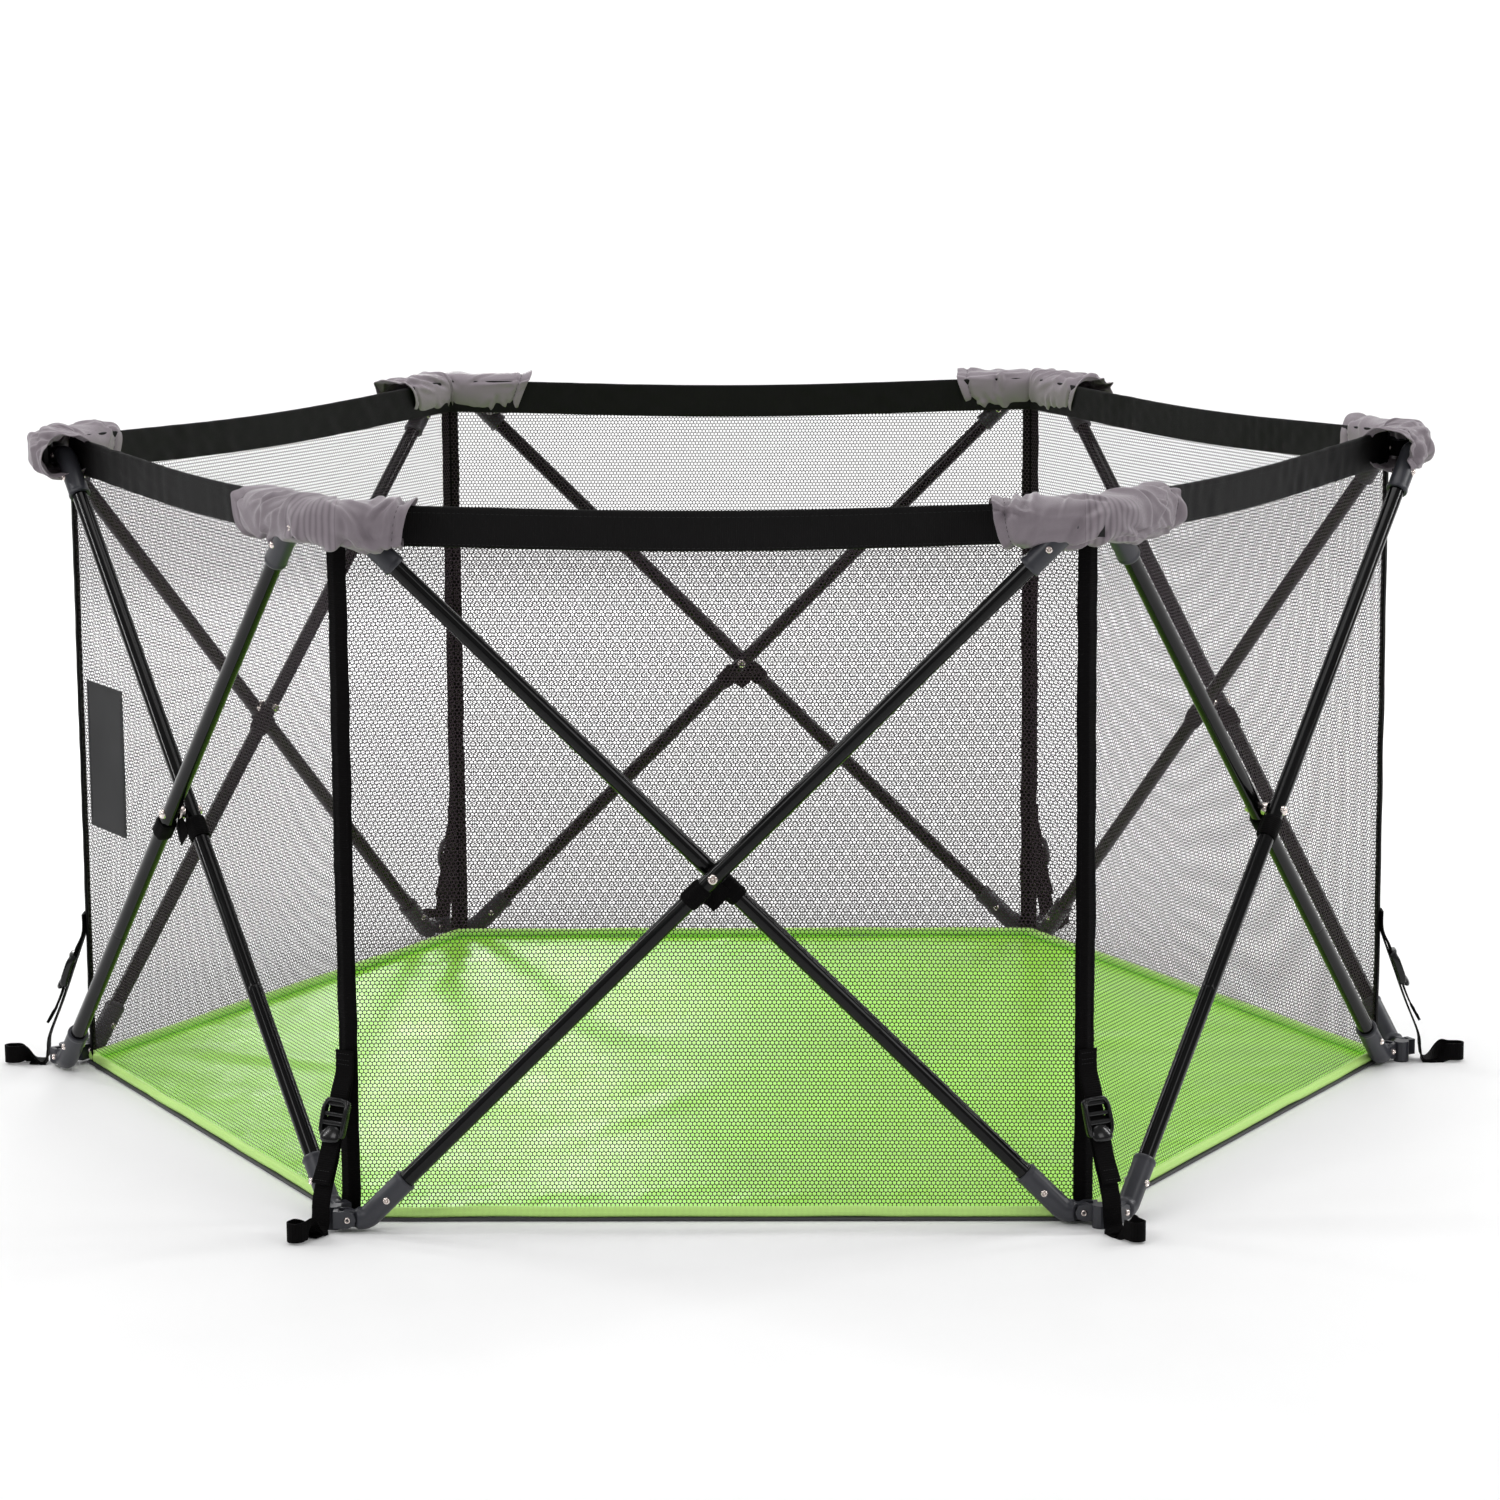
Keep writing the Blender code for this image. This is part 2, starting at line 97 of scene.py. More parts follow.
# Tubes and elbows, as the frame has them
TUBE_RADIUS = 0.008
ELBOW_RADIUS = 0.0105
ELBOW_REACH = 0.0175
ELBOW_BEND = 0.014
SOCKET_LENGTH = 0.052
TONGUE = 0.0078
LUG_RADIUS = 0.008
SLOPE = math.atan2(RISE, 2 * (PIN_REACH - ELBOW_REACH))
STRAP_FOOT = 0.0172  # hub's corner to the strap's inner face in front of the bracket
LOOP_LENGTH = 0.050


# Places in a panel's frame and in a hub's frame


def on_panel(i, along, out, up):
    """World points from distances along panel i from its middle, outward of its plane, and up."""
    base = CROSSINGS[i] * (1, 1, 0)
    along, out, up = (np.asarray(v, float)[..., None] for v in (along, out, up))
    return base + along * ALONG[i] + out * OUTWARD[i] + up * UP


def hub_axes(i):
    """A hub's direction from the yard's axis, and the direction counterclockwise of it."""
    angle = math.atan2(OUTWARD[i][1], OUTWARD[i][0]) - TURN / 2
    radial = np.array([math.cos(angle), math.sin(angle), 0])
    return radial, np.cross(UP, radial)


def at_hub(i, radial, across, up):
    """World points from distances outward of hub i's corner, counterclockwise of it, and up."""
    out, round_it = hub_axes(i)
    radial, across, up = (np.asarray(v, float)[..., None] for v in (radial, across, up))
    return (RING + radial) * out + across * round_it + up * UP


def smooth(x, low=0.0, high=1.0):
    """0 below low, 1 above high, and 3t^2 - 2t^3 between."""
    t = np.clip((np.asarray(x, float) - low) / (high - low), 0, 1)
    return t * t * (3 - 2 * t)


def ripple(x, y, seed, pitch, count=7):
    """Soft noise from -1 to 1: the mean of a few sine waves in seeded directions, about pitch apart."""
    draw = np.random.default_rng(seed)
    total = np.zeros(np.broadcast(x, y).shape)
    for _ in range(count):
        heading, phase = draw.uniform(0, 2 * math.pi, 2)
        wave = 2 * math.pi / (pitch * draw.uniform(0.6, 1.7))
        total += np.sin(wave * (x * math.cos(heading) + y * math.sin(heading)) + phase)
    return total / count * 1.6


def creases(s, t, seed, count, reach, width, lean=0.8, area=None):
    """Cloth folds: ridges exp(-d^2), with d across a short slanted line. They are spread over the
    area (low s, high s, low t, high t), which is the strip itself unless it is given."""
    draw = np.random.default_rng(seed)
    area = area or (s.min(), s.max(), t.min(), t.max())
    total = np.zeros(np.broadcast(s, t).shape)
    for _ in range(count):
        at_s, at_t = draw.uniform(*area[:2]), draw.uniform(*area[2:])
        slant = draw.normal(0, lean)
        run = reach * draw.uniform(0.6, 1.5)
        d = (s - at_s) * math.cos(slant) - (t - at_t) * math.sin(slant)
        e = (s - at_s) * math.sin(slant) + (t - at_t) * math.cos(slant)
        wide = width * draw.uniform(0.7, 1.4)
        ridge = np.exp(-((d / wide) ** 2)) - 0.6 * np.exp(-(((d - 1.6 * wide) / wide) ** 2))
        total += draw.uniform(0.5, 1.0) * ridge * np.exp(-((e / run) ** 2))
    return total


# Surfaces


def grid_block(points, uv, wrap=False):
    """Quads over a grid of points. With wrap, the last column joins the first, and uv has one more."""
    rows, columns = points.shape[:2]
    i, j = np.mgrid[: rows - 1, : columns if wrap else columns - 1]
    corners = [(i, j), (i, j + 1), (i + 1, j + 1), (i + 1, j)]
    faces = np.stack([a * columns + b % columns for a, b in corners], -1).reshape(-1, 4)
    face_uv = np.stack([uv[a, b] for a, b in corners], -2).reshape(-1, 4, 2)
    return points.reshape(-1, 3), faces, face_uv


def fan_block(ring):
    """Triangles from a ring of points to their middle."""
    count = len(ring)
    points = np.vstack([ring, ring.mean(0)])
    i = np.arange(count)
    faces = np.stack([i, (i + 1) % count, np.full(count, count)], -1)
    return points, faces, np.zeros((count, 3, 2))


def running(points):
    """Distance along a line of points, from 0."""
    return np.concatenate([[0], np.cumsum(np.linalg.norm(np.diff(points, axis=0), axis=1))])


def grid_uv(points, wrap=False):
    """A map in metres: the first number runs along the middle row, the second down the middle column."""
    across = points[len(points) // 2]
    if wrap:
        across = np.vstack([across, across[:1]])
    down = points[:, points.shape[1] // 2]
    return np.stack(np.broadcast_arrays(running(across)[None], running(down)[:, None]), -1)


def skin(rings, ends=True):
    """Blocks over rings of points, a row each: the side, and a fan over each end."""
    blocks = [grid_block(rings, grid_uv(rings, True), True)]
    return blocks + ([fan_block(rings[0]), fan_block(rings[-1])] if ends else [])


def swept(path, across, up, section):
    """Carries a section along a path: point = path + a across + b up, for each (a, b) of the section."""
    section = np.broadcast_to(section, (len(path), *np.shape(section)[-2:]))
    across, up = (np.broadcast_to(v, path.shape)[:, None] for v in (across, up))
    return path[:, None] + section[..., :1] * across + section[..., 1:] * up


def upright(path, across):
    """The direction square to a path and to across, at each of the path's points."""
    tangent = np.gradient(path, axis=0)
    up = np.cross(np.broadcast_to(across, path.shape), tangent)
    return up / np.linalg.norm(up, axis=1, keepdims=True)


def oval(half_a, half_b, power=2.0, count=32):
    """A superellipse |a / half_a|^p + |b / half_b|^p = 1: a circle at power 2, boxier above."""
    t = np.linspace(0, 2 * math.pi, count, endpoint=False)
    c, s = np.cos(t), np.sin(t)
    shape = [np.sign(v) * np.abs(v) ** (2 / power) for v in (c, s)]
    return np.stack([half_a * shape[0], half_b * shape[1]], -1)


def band(width, thickness, count=7):
    """A flat strap's section: two straight faces joined by half-round edges."""
    half, r = width / 2 - thickness / 2, thickness / 2
    t = np.linspace(-math.pi / 2, math.pi / 2, 5)
    x = np.linspace(-half, half, count)[1:-1]
    right = np.stack([half + r * np.cos(t), r * np.sin(t)], -1)
    top = np.stack([x[::-1], np.full(len(x), r)], -1)
    bottom = np.stack([x, np.full(len(x), -r)], -1)
    return np.vstack([right, top, -right, bottom])


def curve_through(points, count):
    """A smooth line through a few points: a Catmull-Rom spline with evenly spaced parameters."""
    p = np.asarray(points, float)
    p = np.vstack([2 * p[0] - p[1], p, 2 * p[-1] - p[-2]])
    t = np.linspace(0, len(p) - 3 - 1e-9, count)
    k, f = t.astype(int), (t % 1)[:, None]
    a, b, c, d = (p[k + n] for n in range(4))
    return 0.5 * (2 * b + (c - a) * f + (2 * a - 5 * b + 4 * c - d) * f**2 + (3 * b - a - 3 * c + d) * f**3)


def turned(profile, centre, axis, sides=28):
    """A shape of revolution: (radius, height) points turned about an axis through centre."""
    axis = np.asarray(axis, float) / np.linalg.norm(axis)
    side = np.cross(axis, UP if abs(axis[2]) < 0.9 else (1, 0, 0))
    side /= np.linalg.norm(side)
    t = np.linspace(0, 2 * math.pi, sides, endpoint=False)
    ring = np.cos(t)[:, None] * side + np.sin(t)[:, None] * np.cross(axis, side)
    profile = np.asarray(profile, float)
    return np.asarray(centre) + profile[:, :1, None] * ring + profile[:, 1:, None] * axis


def stitches(path, normal, length=0.0032, gap=0.0012, radius=0.00028):
    """Threads along a line: a six-sided spindle for each stitch, standing half out of the cloth."""
    at = running(path)
    starts = np.arange(gap, at[-1] - length, length + gap)
    ends = [np.stack([np.interp(starts + d, at, path[:, k]) for k in range(3)], -1) for d in (0, length)]
    t = np.linspace(0, 2 * math.pi, 6, endpoint=False)
    share, thick = np.array([0, 0.15, 0.5, 0.85, 1]), np.array([0.1, 0.8, 1, 0.8, 0.1]) * radius
    middle = ends[0][:, None] + share[:, None] * (ends[1] - ends[0])[:, None]
    along = (ends[1] - ends[0]) / length
    side = np.cross(along, normal)
    normal = np.broadcast_to(normal, side.shape)
    ring = np.cos(t)[:, None] * side[:, None] + np.sin(t)[:, None] * normal[:, None]
    points = middle[:, :, None] + thick[:, None, None] * ring[:, None]
    i, j = np.mgrid[:4, :6]
    quad = np.stack([i * 6 + j, i * 6 + (j + 1) % 6, (i + 1) * 6 + (j + 1) % 6, (i + 1) * 6 + j], -1)
    faces = (np.arange(len(points))[:, None, None] * 30 + quad.reshape(-1, 4)).reshape(-1, 4)
    return [(points.reshape(-1, 3), faces, np.zeros((len(faces), 4, 2)))]


def make_mesh(name, blocks, away_from=None):
    """One mesh of several blocks, its seams closed. A closed skin faces outwards; a sheet faces
    away from the point away_from."""
    mesh = bpy.data.meshes.new(name)
    starts = np.cumsum([0] + [len(points) for points, _, _ in blocks])
    loops = np.concatenate([(faces + start).ravel() for (_, faces, _), start in zip(blocks, starts)])
    sizes = np.concatenate([np.full(len(faces), faces.shape[1]) for _, faces, _ in blocks])
    mesh.vertices.add(starts[-1])
    mesh.vertices.foreach_set("co", np.vstack([b[0] for b in blocks]).astype(np.float32).ravel())
    mesh.loops.add(len(loops))
    mesh.loops.foreach_set("vertex_index", loops.astype(np.int32))
    mesh.polygons.add(len(sizes))
    mesh.polygons.foreach_set("loop_start", (np.cumsum(sizes) - sizes).astype(np.int32))
    mesh.update(calc_edges=True)
    uv = np.concatenate([b[2].reshape(-1, 2) for b in blocks])
    mesh.uv_layers.new(name="UVMap").data.foreach_set("uv", uv.astype(np.float32).ravel())
    bm = bmesh.new()
    bm.from_mesh(mesh)
    bmesh.ops.remove_doubles(bm, verts=bm.verts, dist=2e-6)
    if away_from is None:
        bmesh.ops.recalc_face_normals(bm, faces=bm.faces)
    else:
        away = Vector(away_from)
        lean = sum(f.normal.dot((f.calc_center_median() - away).normalized()) for f in bm.faces)
        if lean < 0:
            bmesh.ops.reverse_faces(bm, faces=bm.faces)
    bm.edges.index_update()
    bm.to_mesh(mesh)
    rims = [edge.index for edge in bm.edges if edge.is_boundary]
    bm.free()
    mesh.shade_smooth()
    mesh.set_sharp_from_angle(angle=math.radians(48))
    sharp = mesh.attributes.get("sharp_edge") or mesh.attributes.new("sharp_edge", "BOOLEAN", "EDGE")
    marks = np.zeros(len(mesh.edges), bool)
    sharp.data.foreach_get("value", marks)
    marks[rims] = True
    sharp.data.foreach_set("value", marks)
    return mesh


def piece(name, blocks, material, body, away_from=None, replaces=()):
    """A finished piece that moves with a body and may stand for some of the frame's nodes."""
    made = bpy.data.objects.new(name, make_mesh(name, blocks, away_from))
    bpy.context.scene.collection.objects.link(made)
    made.data.materials.append(material)
    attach(made, body)
    if replaces:
        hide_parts(*replaces)
    return made


def gather(made):
    """Gives half a panel's cloth its own copy of its mesh: half 0 is at hub i, half 1 at the next one."""
    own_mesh(made)


def top_hub(i, half):
    return f"top_hub_{(i + half) % SIDES + 1}"


def tag(i, half):
    """The end of a name: the panel's or hub's number, and a or b for its half."""
    return f"{i + 1}_{'ab'[half]}"


# Finishes


def socket(group, name, kind, way, value=None):
    made = group.interface.new_socket(name=name, in_out=way, socket_type=kind)
    if value is not None:
        made.default_value = value
    return made


def math_node(nodes, links, operation, *values):
    """A Math node fed by sockets or numbers."""
    node = nodes.new("ShaderNodeMath")
    node.operation = operation
    for slot_in, value in zip(node.inputs, values):
        if isinstance(value, (int, float)):
            slot_in.default_value = value
        else:
            links.new(value, slot_in)
    return node.outputs[0]


def build_group(name, inputs, outputs, wire):
    """A shader node group made once: wire(group, inputs, nodes, links) gives its outputs in order."""
    if name in bpy.data.node_groups:
        return bpy.data.node_groups[name]
    group = bpy.data.node_groups.new(name, "ShaderNodeTree")
    for label, kind, value in inputs:
        socket(group, label, kind, "INPUT", value)
    for label, kind in outputs:
        socket(group, label, kind, "OUTPUT")
    source = group.nodes.new("NodeGroupInput").outputs
    made = wire({label: source[label] for label, _, _ in inputs}, group.nodes, group.links)
    target = group.nodes.new("NodeGroupOutput").inputs
    for (label, _), value in zip(outputs, made):
        group.links.new(value, target[label])
    return group


FLOAT, VECTOR, COLOR = "NodeSocketFloat", "NodeSocketVector", "NodeSocketColor"


def grain_group():
    """Fine and broad noise: a colour shaded by both, and a height for bump."""

    def wire(given, nodes, links):
        fine = nodes.new("ShaderNodeTexNoise")
        broad = nodes.new("ShaderNodeTexNoise")
        fine.inputs["Detail"].default_value = 3
        broad.inputs["Detail"].default_value = 2
        for noise, scale in ((fine, "Fine scale"), (broad, "Broad scale")):
            links.new(given["Vector"], noise.inputs["Vector"])
            links.new(given[scale], noise.inputs["Scale"])
        shade = math_node(nodes, links, "MULTIPLY_ADD", broad.outputs["Fac"], given["Variation"], 1.0)
        half = math_node(nodes, links, "MULTIPLY", given["Variation"], 0.5)
        shade = math_node(nodes, links, "SUBTRACT", shade, half)
        tinted = nodes.new("ShaderNodeVectorMath")
        tinted.operation = "SCALE"
        links.new(given["Color"], tinted.inputs[0])
        links.new(shade, tinted.inputs["Scale"])
        rough = math_node(nodes, links, "MULTIPLY_ADD", broad.outputs["Fac"], 0.2, given["Roughness"])
        rough = math_node(nodes, links, "SUBTRACT", rough, 0.1)
        return tinted.outputs[0], rough, fine.outputs["Fac"]

    return build_group(
        "Grain",
        [
            ("Vector", VECTOR, None),
            ("Color", COLOR, None),
            ("Roughness", FLOAT, 0.5),
            ("Fine scale", FLOAT, 900.0),
            ("Broad scale", FLOAT, 12.0),
            ("Variation", FLOAT, 0.3),
        ],
        [("Color", COLOR), ("Roughness", FLOAT), ("Height", FLOAT)],
        wire,
    )


def rib_group():
    """Woven ribs along the map's second direction, broken by threads along the first."""

    def wire(given, nodes, links):
        split = nodes.new("ShaderNodeSeparateXYZ")
        links.new(given["Vector"], split.inputs[0])
        u, v = split.outputs[0], split.outputs[1]
        thread = math_node(nodes, links, "DIVIDE", u, given["Thread pitch"])
        thread = math_node(nodes, links, "MULTIPLY", thread, 2 * math.pi)
        thread = math_node(nodes, links, "SINE", thread)
        turn = math_node(nodes, links, "DIVIDE", v, given["Rib pitch"])
        turn = math_node(nodes, links, "MULTIPLY_ADD", thread, 0.09, turn)
        turn = math_node(nodes, links, "MULTIPLY", turn, math.pi)
        rib = math_node(nodes, links, "ABSOLUTE", math_node(nodes, links, "SINE", turn))
        rib = math_node(nodes, links, "POWER", rib, 0.6)
        weave = math_node(nodes, links, "MULTIPLY_ADD", thread, 0.12, rib)
        shade = math_node(nodes, links, "MULTIPLY_ADD", weave, 0.55, 0.5)
        tinted = nodes.new("ShaderNodeVectorMath")
        tinted.operation = "SCALE"
        links.new(given["Color"], tinted.inputs[0])
        links.new(shade, tinted.inputs["Scale"])
        return tinted.outputs[0], weave

    return build_group(
        "Woven ribs",
        [
            ("Vector", VECTOR, None),
            ("Color", COLOR, None),
            ("Rib pitch", FLOAT, 0.0012),
            ("Thread pitch", FLOAT, 0.001),
        ],
        [("Color", COLOR), ("Height", FLOAT)],
        wire,
    )


def net_group():
    """Hexagonal netting: the mean of three plane waves is highest at the middle of each hole."""

    def wire(given, nodes, links):
        scaled = nodes.new("ShaderNodeVectorMath")
        scaled.operation = "SCALE"
        links.new(given["Vector"], scaled.inputs[0])
        links.new(math_node(nodes, links, "DIVIDE", 1.0, given["Pitch"]), scaled.inputs["Scale"])
        total = 0.0
        for degrees in (30, 90, 150):
            wave = nodes.new("ShaderNodeVectorMath")
            wave.operation = "DOT_PRODUCT"
            links.new(scaled.outputs[0], wave.inputs[0])
            heading, number = math.radians(degrees), 4 * math.pi / math.sqrt(3)
            wave.inputs[1].default_value = (number * math.cos(heading), number * math.sin(heading), 0)
            cosine = math_node(nodes, links, "COSINE", wave.outputs["Value"])
            total = math_node(nodes, links, "ADD", cosine, total)
        mean = math_node(nodes, links, "DIVIDE", total, 3.0)
        over = math_node(nodes, links, "SUBTRACT", mean, given["Thread"])
        hole = math_node(nodes, links, "MULTIPLY", over, 12.0)
        node = hole.node
        node.use_clamp = True
        return math_node(nodes, links, "SUBTRACT", 1.0, hole), mean

    return build_group(
        "Hexagonal net",
        [("Vector", VECTOR, None), ("Pitch", FLOAT, 0.004), ("Thread", FLOAT, -0.1)],
        [("Cover", FLOAT), ("Height", FLOAT)],
        wire,
    )


def base_material(name, roughness, metallic=0.0, **sockets):
    made = bpy.data.materials.new(name)
    made.use_nodes = True
    nodes, links = made.node_tree.nodes, made.node_tree.links
    shader = nodes["Principled BSDF"]
    shader.inputs["Roughness"].default_value = roughness
    shader.inputs["Metallic"].default_value = metallic
    for label, value in sockets.items():
        shader.inputs[label.replace("_", " ")].default_value = value
    return made, nodes, links, shader


def add_bump(nodes, links, shader, height, strength, distance):
    bump = nodes.new("ShaderNodeBump")
    bump.inputs["Strength"].default_value = strength
    bump.inputs["Distance"].default_value = distance
    links.new(height, bump.inputs["Height"])
    links.new(bump.outputs[0], shader.inputs["Normal"])


def place_group(nodes, links, group, coordinates, **values):
    node = nodes.new("ShaderNodeGroup")
    node.node_tree = group
    where = nodes.new("ShaderNodeTexCoord")
    links.new(where.outputs[coordinates], node.inputs["Vector"])
    for label, value in values.items():
        node.inputs[label.replace("_", " ")].default_value = value
    return node


def moulded(name, color, roughness, fine=900.0, depth=0.00003, variation=0.3, metallic=0.0, **sockets):
    """Plastic, metal or coated cloth: grain in its colour, roughness and bump."""
    made, nodes, links, shader = base_material(name, roughness, metallic, **sockets)
    node = place_group(
        nodes, links, grain_group(), "Object",
        Color=(*color, 1), Roughness=roughness, Fine_scale=fine, Variation=variation,
    )
    links.new(node.outputs["Color"], shader.inputs["Base Color"])
    links.new(node.outputs["Roughness"], shader.inputs["Roughness"])
    add_bump(nodes, links, shader, node.outputs["Height"], 0.6, depth)
    return made


def woven(name, color, roughness, rib, thread, depth=0.00025, **sockets):
    """Webbing or ribbed cloth whose ribs follow the piece's own map."""
    made, nodes, links, shader = base_material(name, roughness, **sockets)
    node = place_group(
        nodes, links, rib_group(), "UV", Color=(*color, 1), Rib_pitch=rib, Thread_pitch=thread
    )
    links.new(node.outputs["Color"], shader.inputs["Base Color"])
    add_bump(nodes, links, shader, node.outputs["Height"], 0.9, depth)
    return made


def netting(name, color):
    """Black knitted net, clear in its holes."""
    made, nodes, links, shader = base_material(name, 0.6, Specular_IOR_Level=0.2)
    node = place_group(nodes, links, net_group(), "UV", Pitch=NET_PITCH, Thread=NET_THREAD)
    shader.inputs["Base Color"].default_value = (*color, 1)
    links.new(node.outputs["Cover"], shader.inputs["Alpha"])
    add_bump(nodes, links, shader, node.outputs["Height"], 0.5, 0.0004)
    return made


NET_PITCH = 0.004
NET_THREAD = -0.31

RECIPES = {
    "black enamel": lambda c: moulded(
        "black enamel", c.tube, 0.13, fine=260, depth=0.000008, variation=0.12,
        Specular_IOR_Level=0.24,
    ),
    "slate plastic": lambda c: moulded(
        "slate plastic", c.elbow, 0.38, fine=1500, depth=0.00002, Specular_IOR_Level=0.4
    ),
    "black plastic": lambda c: moulded(
        "black plastic", (0.006, 0.006, 0.0065), 0.42, fine=1200, Specular_IOR_Level=0.35
    ),
    "buckle plastic": lambda c: moulded(
        "buckle plastic", (0.004, 0.004, 0.0045), 0.2, fine=700, depth=0.00002, Specular_IOR_Level=0.4
    ),
    "plated steel": lambda c: moulded(
        "plated steel", c.rivet, 0.22, fine=800, depth=0.00002, metallic=1.0
    ),
    "webbing": lambda c: woven(
        "webbing", c.webbing, 0.72, 0.0021, 0.0011, depth=0.0004, Specular_IOR_Level=0.06
    ),
    "grosgrain": lambda c: woven(
        "grosgrain", c.webbing, 0.6, 0.0016, 0.0009, depth=0.00035, Specular_IOR_Level=0.16
    ),
    "net": lambda c: netting("net", c.net),
    "sleeve cloth": lambda c: woven(
        "sleeve cloth", c.sleeve, 0.5, 0.0007, 0.0006, depth=0.0001,
        Sheen_Weight=0.25, Sheen_Roughness=0.4,
    ),
    "lime cloth": lambda c: moulded(
        "lime cloth", c.lime, 0.33, fine=420, depth=0.00012, variation=0.2, Specular_IOR_Level=0.42
    ),
    "lime piping": lambda c: woven("lime piping", c.piping, 0.42, 0.0011, 0.0011, depth=0.00008),
    "grey underside and painted shadow": lambda c: moulded("grey underside and painted shadow", (0.05, 0.05, 0.055), 0.6, fine=700),
    "thread": lambda c: moulded("thread", (0.02, 0.02, 0.021), 0.7, fine=2500, Specular_IOR_Level=0.2),
    "blank label": lambda c: moulded(
        "blank label", (0.006, 0.006, 0.007), 0.55, fine=1400, Specular_IOR_Level=0.25
    ),
}


def finish(name):
    """A finish by its name, made the first time it is asked for."""
    if name not in bpy.data.materials:
        RECIPES[name](bpy.context.scene.play_yard_colours)
    return bpy.data.materials[name]


# Settings that a user would change


def length(name, about, default):
    return bpy.props.FloatProperty(name=name, description=about, default=default, unit="LENGTH")


def colour(name, about, default):
    return bpy.props.FloatVectorProperty(
        name=name, description=about, default=default, subtype="COLOR", size=3, min=0, max=1
    )


class PLAYYARD_PG_sizes(bpy.types.PropertyGroup):
    """Sizes of the cloth pieces."""

    rail_height: length("Edging height", "Height of the webbing round the top", 0.037)
    rail_thickness: length("Edging thickness", "Folded webbing, both layers", 0.0034)
    rail_sag: length("Edging sag", "How far the top edge hangs at a panel's middle", 0.007)
    net_hollow: length("Net hollow", "How far a mesh wall curves inwards", 0.010)
    binding_width: length("Binding width", "Webbing down each corner", 0.021)
    strap_width: length("Strap width", "Corner straps and stake loops", 0.020)
    strap_thickness: length("Strap thickness", "Corner straps and stake loops", 0.0015)
    floor_wave: length("Floor waves", "How far the floor's cloth rises in folds", 0.004)
    piping_height: length("Piping height", "Roll round the floor's edge", 0.010)


class PLAYYARD_PG_colours(bpy.types.PropertyGroup):
    """Colours of the finishes."""

    tube: colour("Tubes", "Enamel on the steel tubes", (0.0018, 0.0018, 0.002))
    elbow: colour("Elbows", "Moulded elbows", (0.036, 0.037, 0.045))
    rivet: colour("Rivets", "Plated rivets and pins", (0.78, 0.7, 0.66))
    webbing: colour("Webbing", "Straps, bindings and edging", (0.0028, 0.0024, 0.0026))
    net: colour("Netting", "Mesh walls", (0.034, 0.022, 0.029))
    sleeve: colour("Sleeves", "Cloth over the top corners", (0.235, 0.198, 0.225))
    lime: colour("Floor", "Floor cloth", (0.42, 0.92, 0.085))
    piping: colour("Piping", "Roll round the floor", (0.62, 0.98, 0.26))
    ground: colour("Ground", "Studio floor and backdrop", (0.96, 0.96, 0.96))


class PLAYYARD_OT_tubes(bpy.types.Operator):
    """Twelve enamelled tubes, each with the faint ring where its two lengths join"""

    bl_idname = "playyard.tubes"
    bl_label = "Tubes"

    def execute(self, context):
        enamel = finish("black enamel")
        reach = PIN_REACH - ELBOW_REACH - 0.014 * math.cos(SLOPE)
        lift = reach * math.tan(SLOPE)
        middle = (TOP_PIN + FOOT_PIN) / 2
        long = 2 * math.hypot(reach, lift)
        seam = 0.74 * long  # from the top end to the joint between two lengths
        for i in range(SIDES):
            for kind, way, out in (("outer", 1, TUBE_OFFSET), ("inner", -1, -TUBE_OFFSET)):
                at = np.sort(np.concatenate([np.linspace(0, long, 9), seam + np.array(SEAM_AT)]))
                narrow = TUBE_RADIUS - 0.0002 * np.exp(-(((at - seam) / 0.0006) ** 2))
                wide = narrow[:, None, None] * oval(1, 1, count=40)
                share = 1 - 2 * at / long
                path = on_panel(i, way * reach * share, out, middle + lift * share)
                rings = swept(path, OUTWARD[i], upright(path, OUTWARD[i]), wide)
                piece(
                    f"tube_{kind}_{i + 1}", skin(rings), enamel,
                    f"{kind}_arm_{i + 1}", replaces=[f"{kind}_tube_{i + 1}"],
                )
        return {"FINISHED"}


SEAM_AT = (-0.003, -0.0012, -0.0006, 0.0, 0.0006, 0.0012, 0.003)


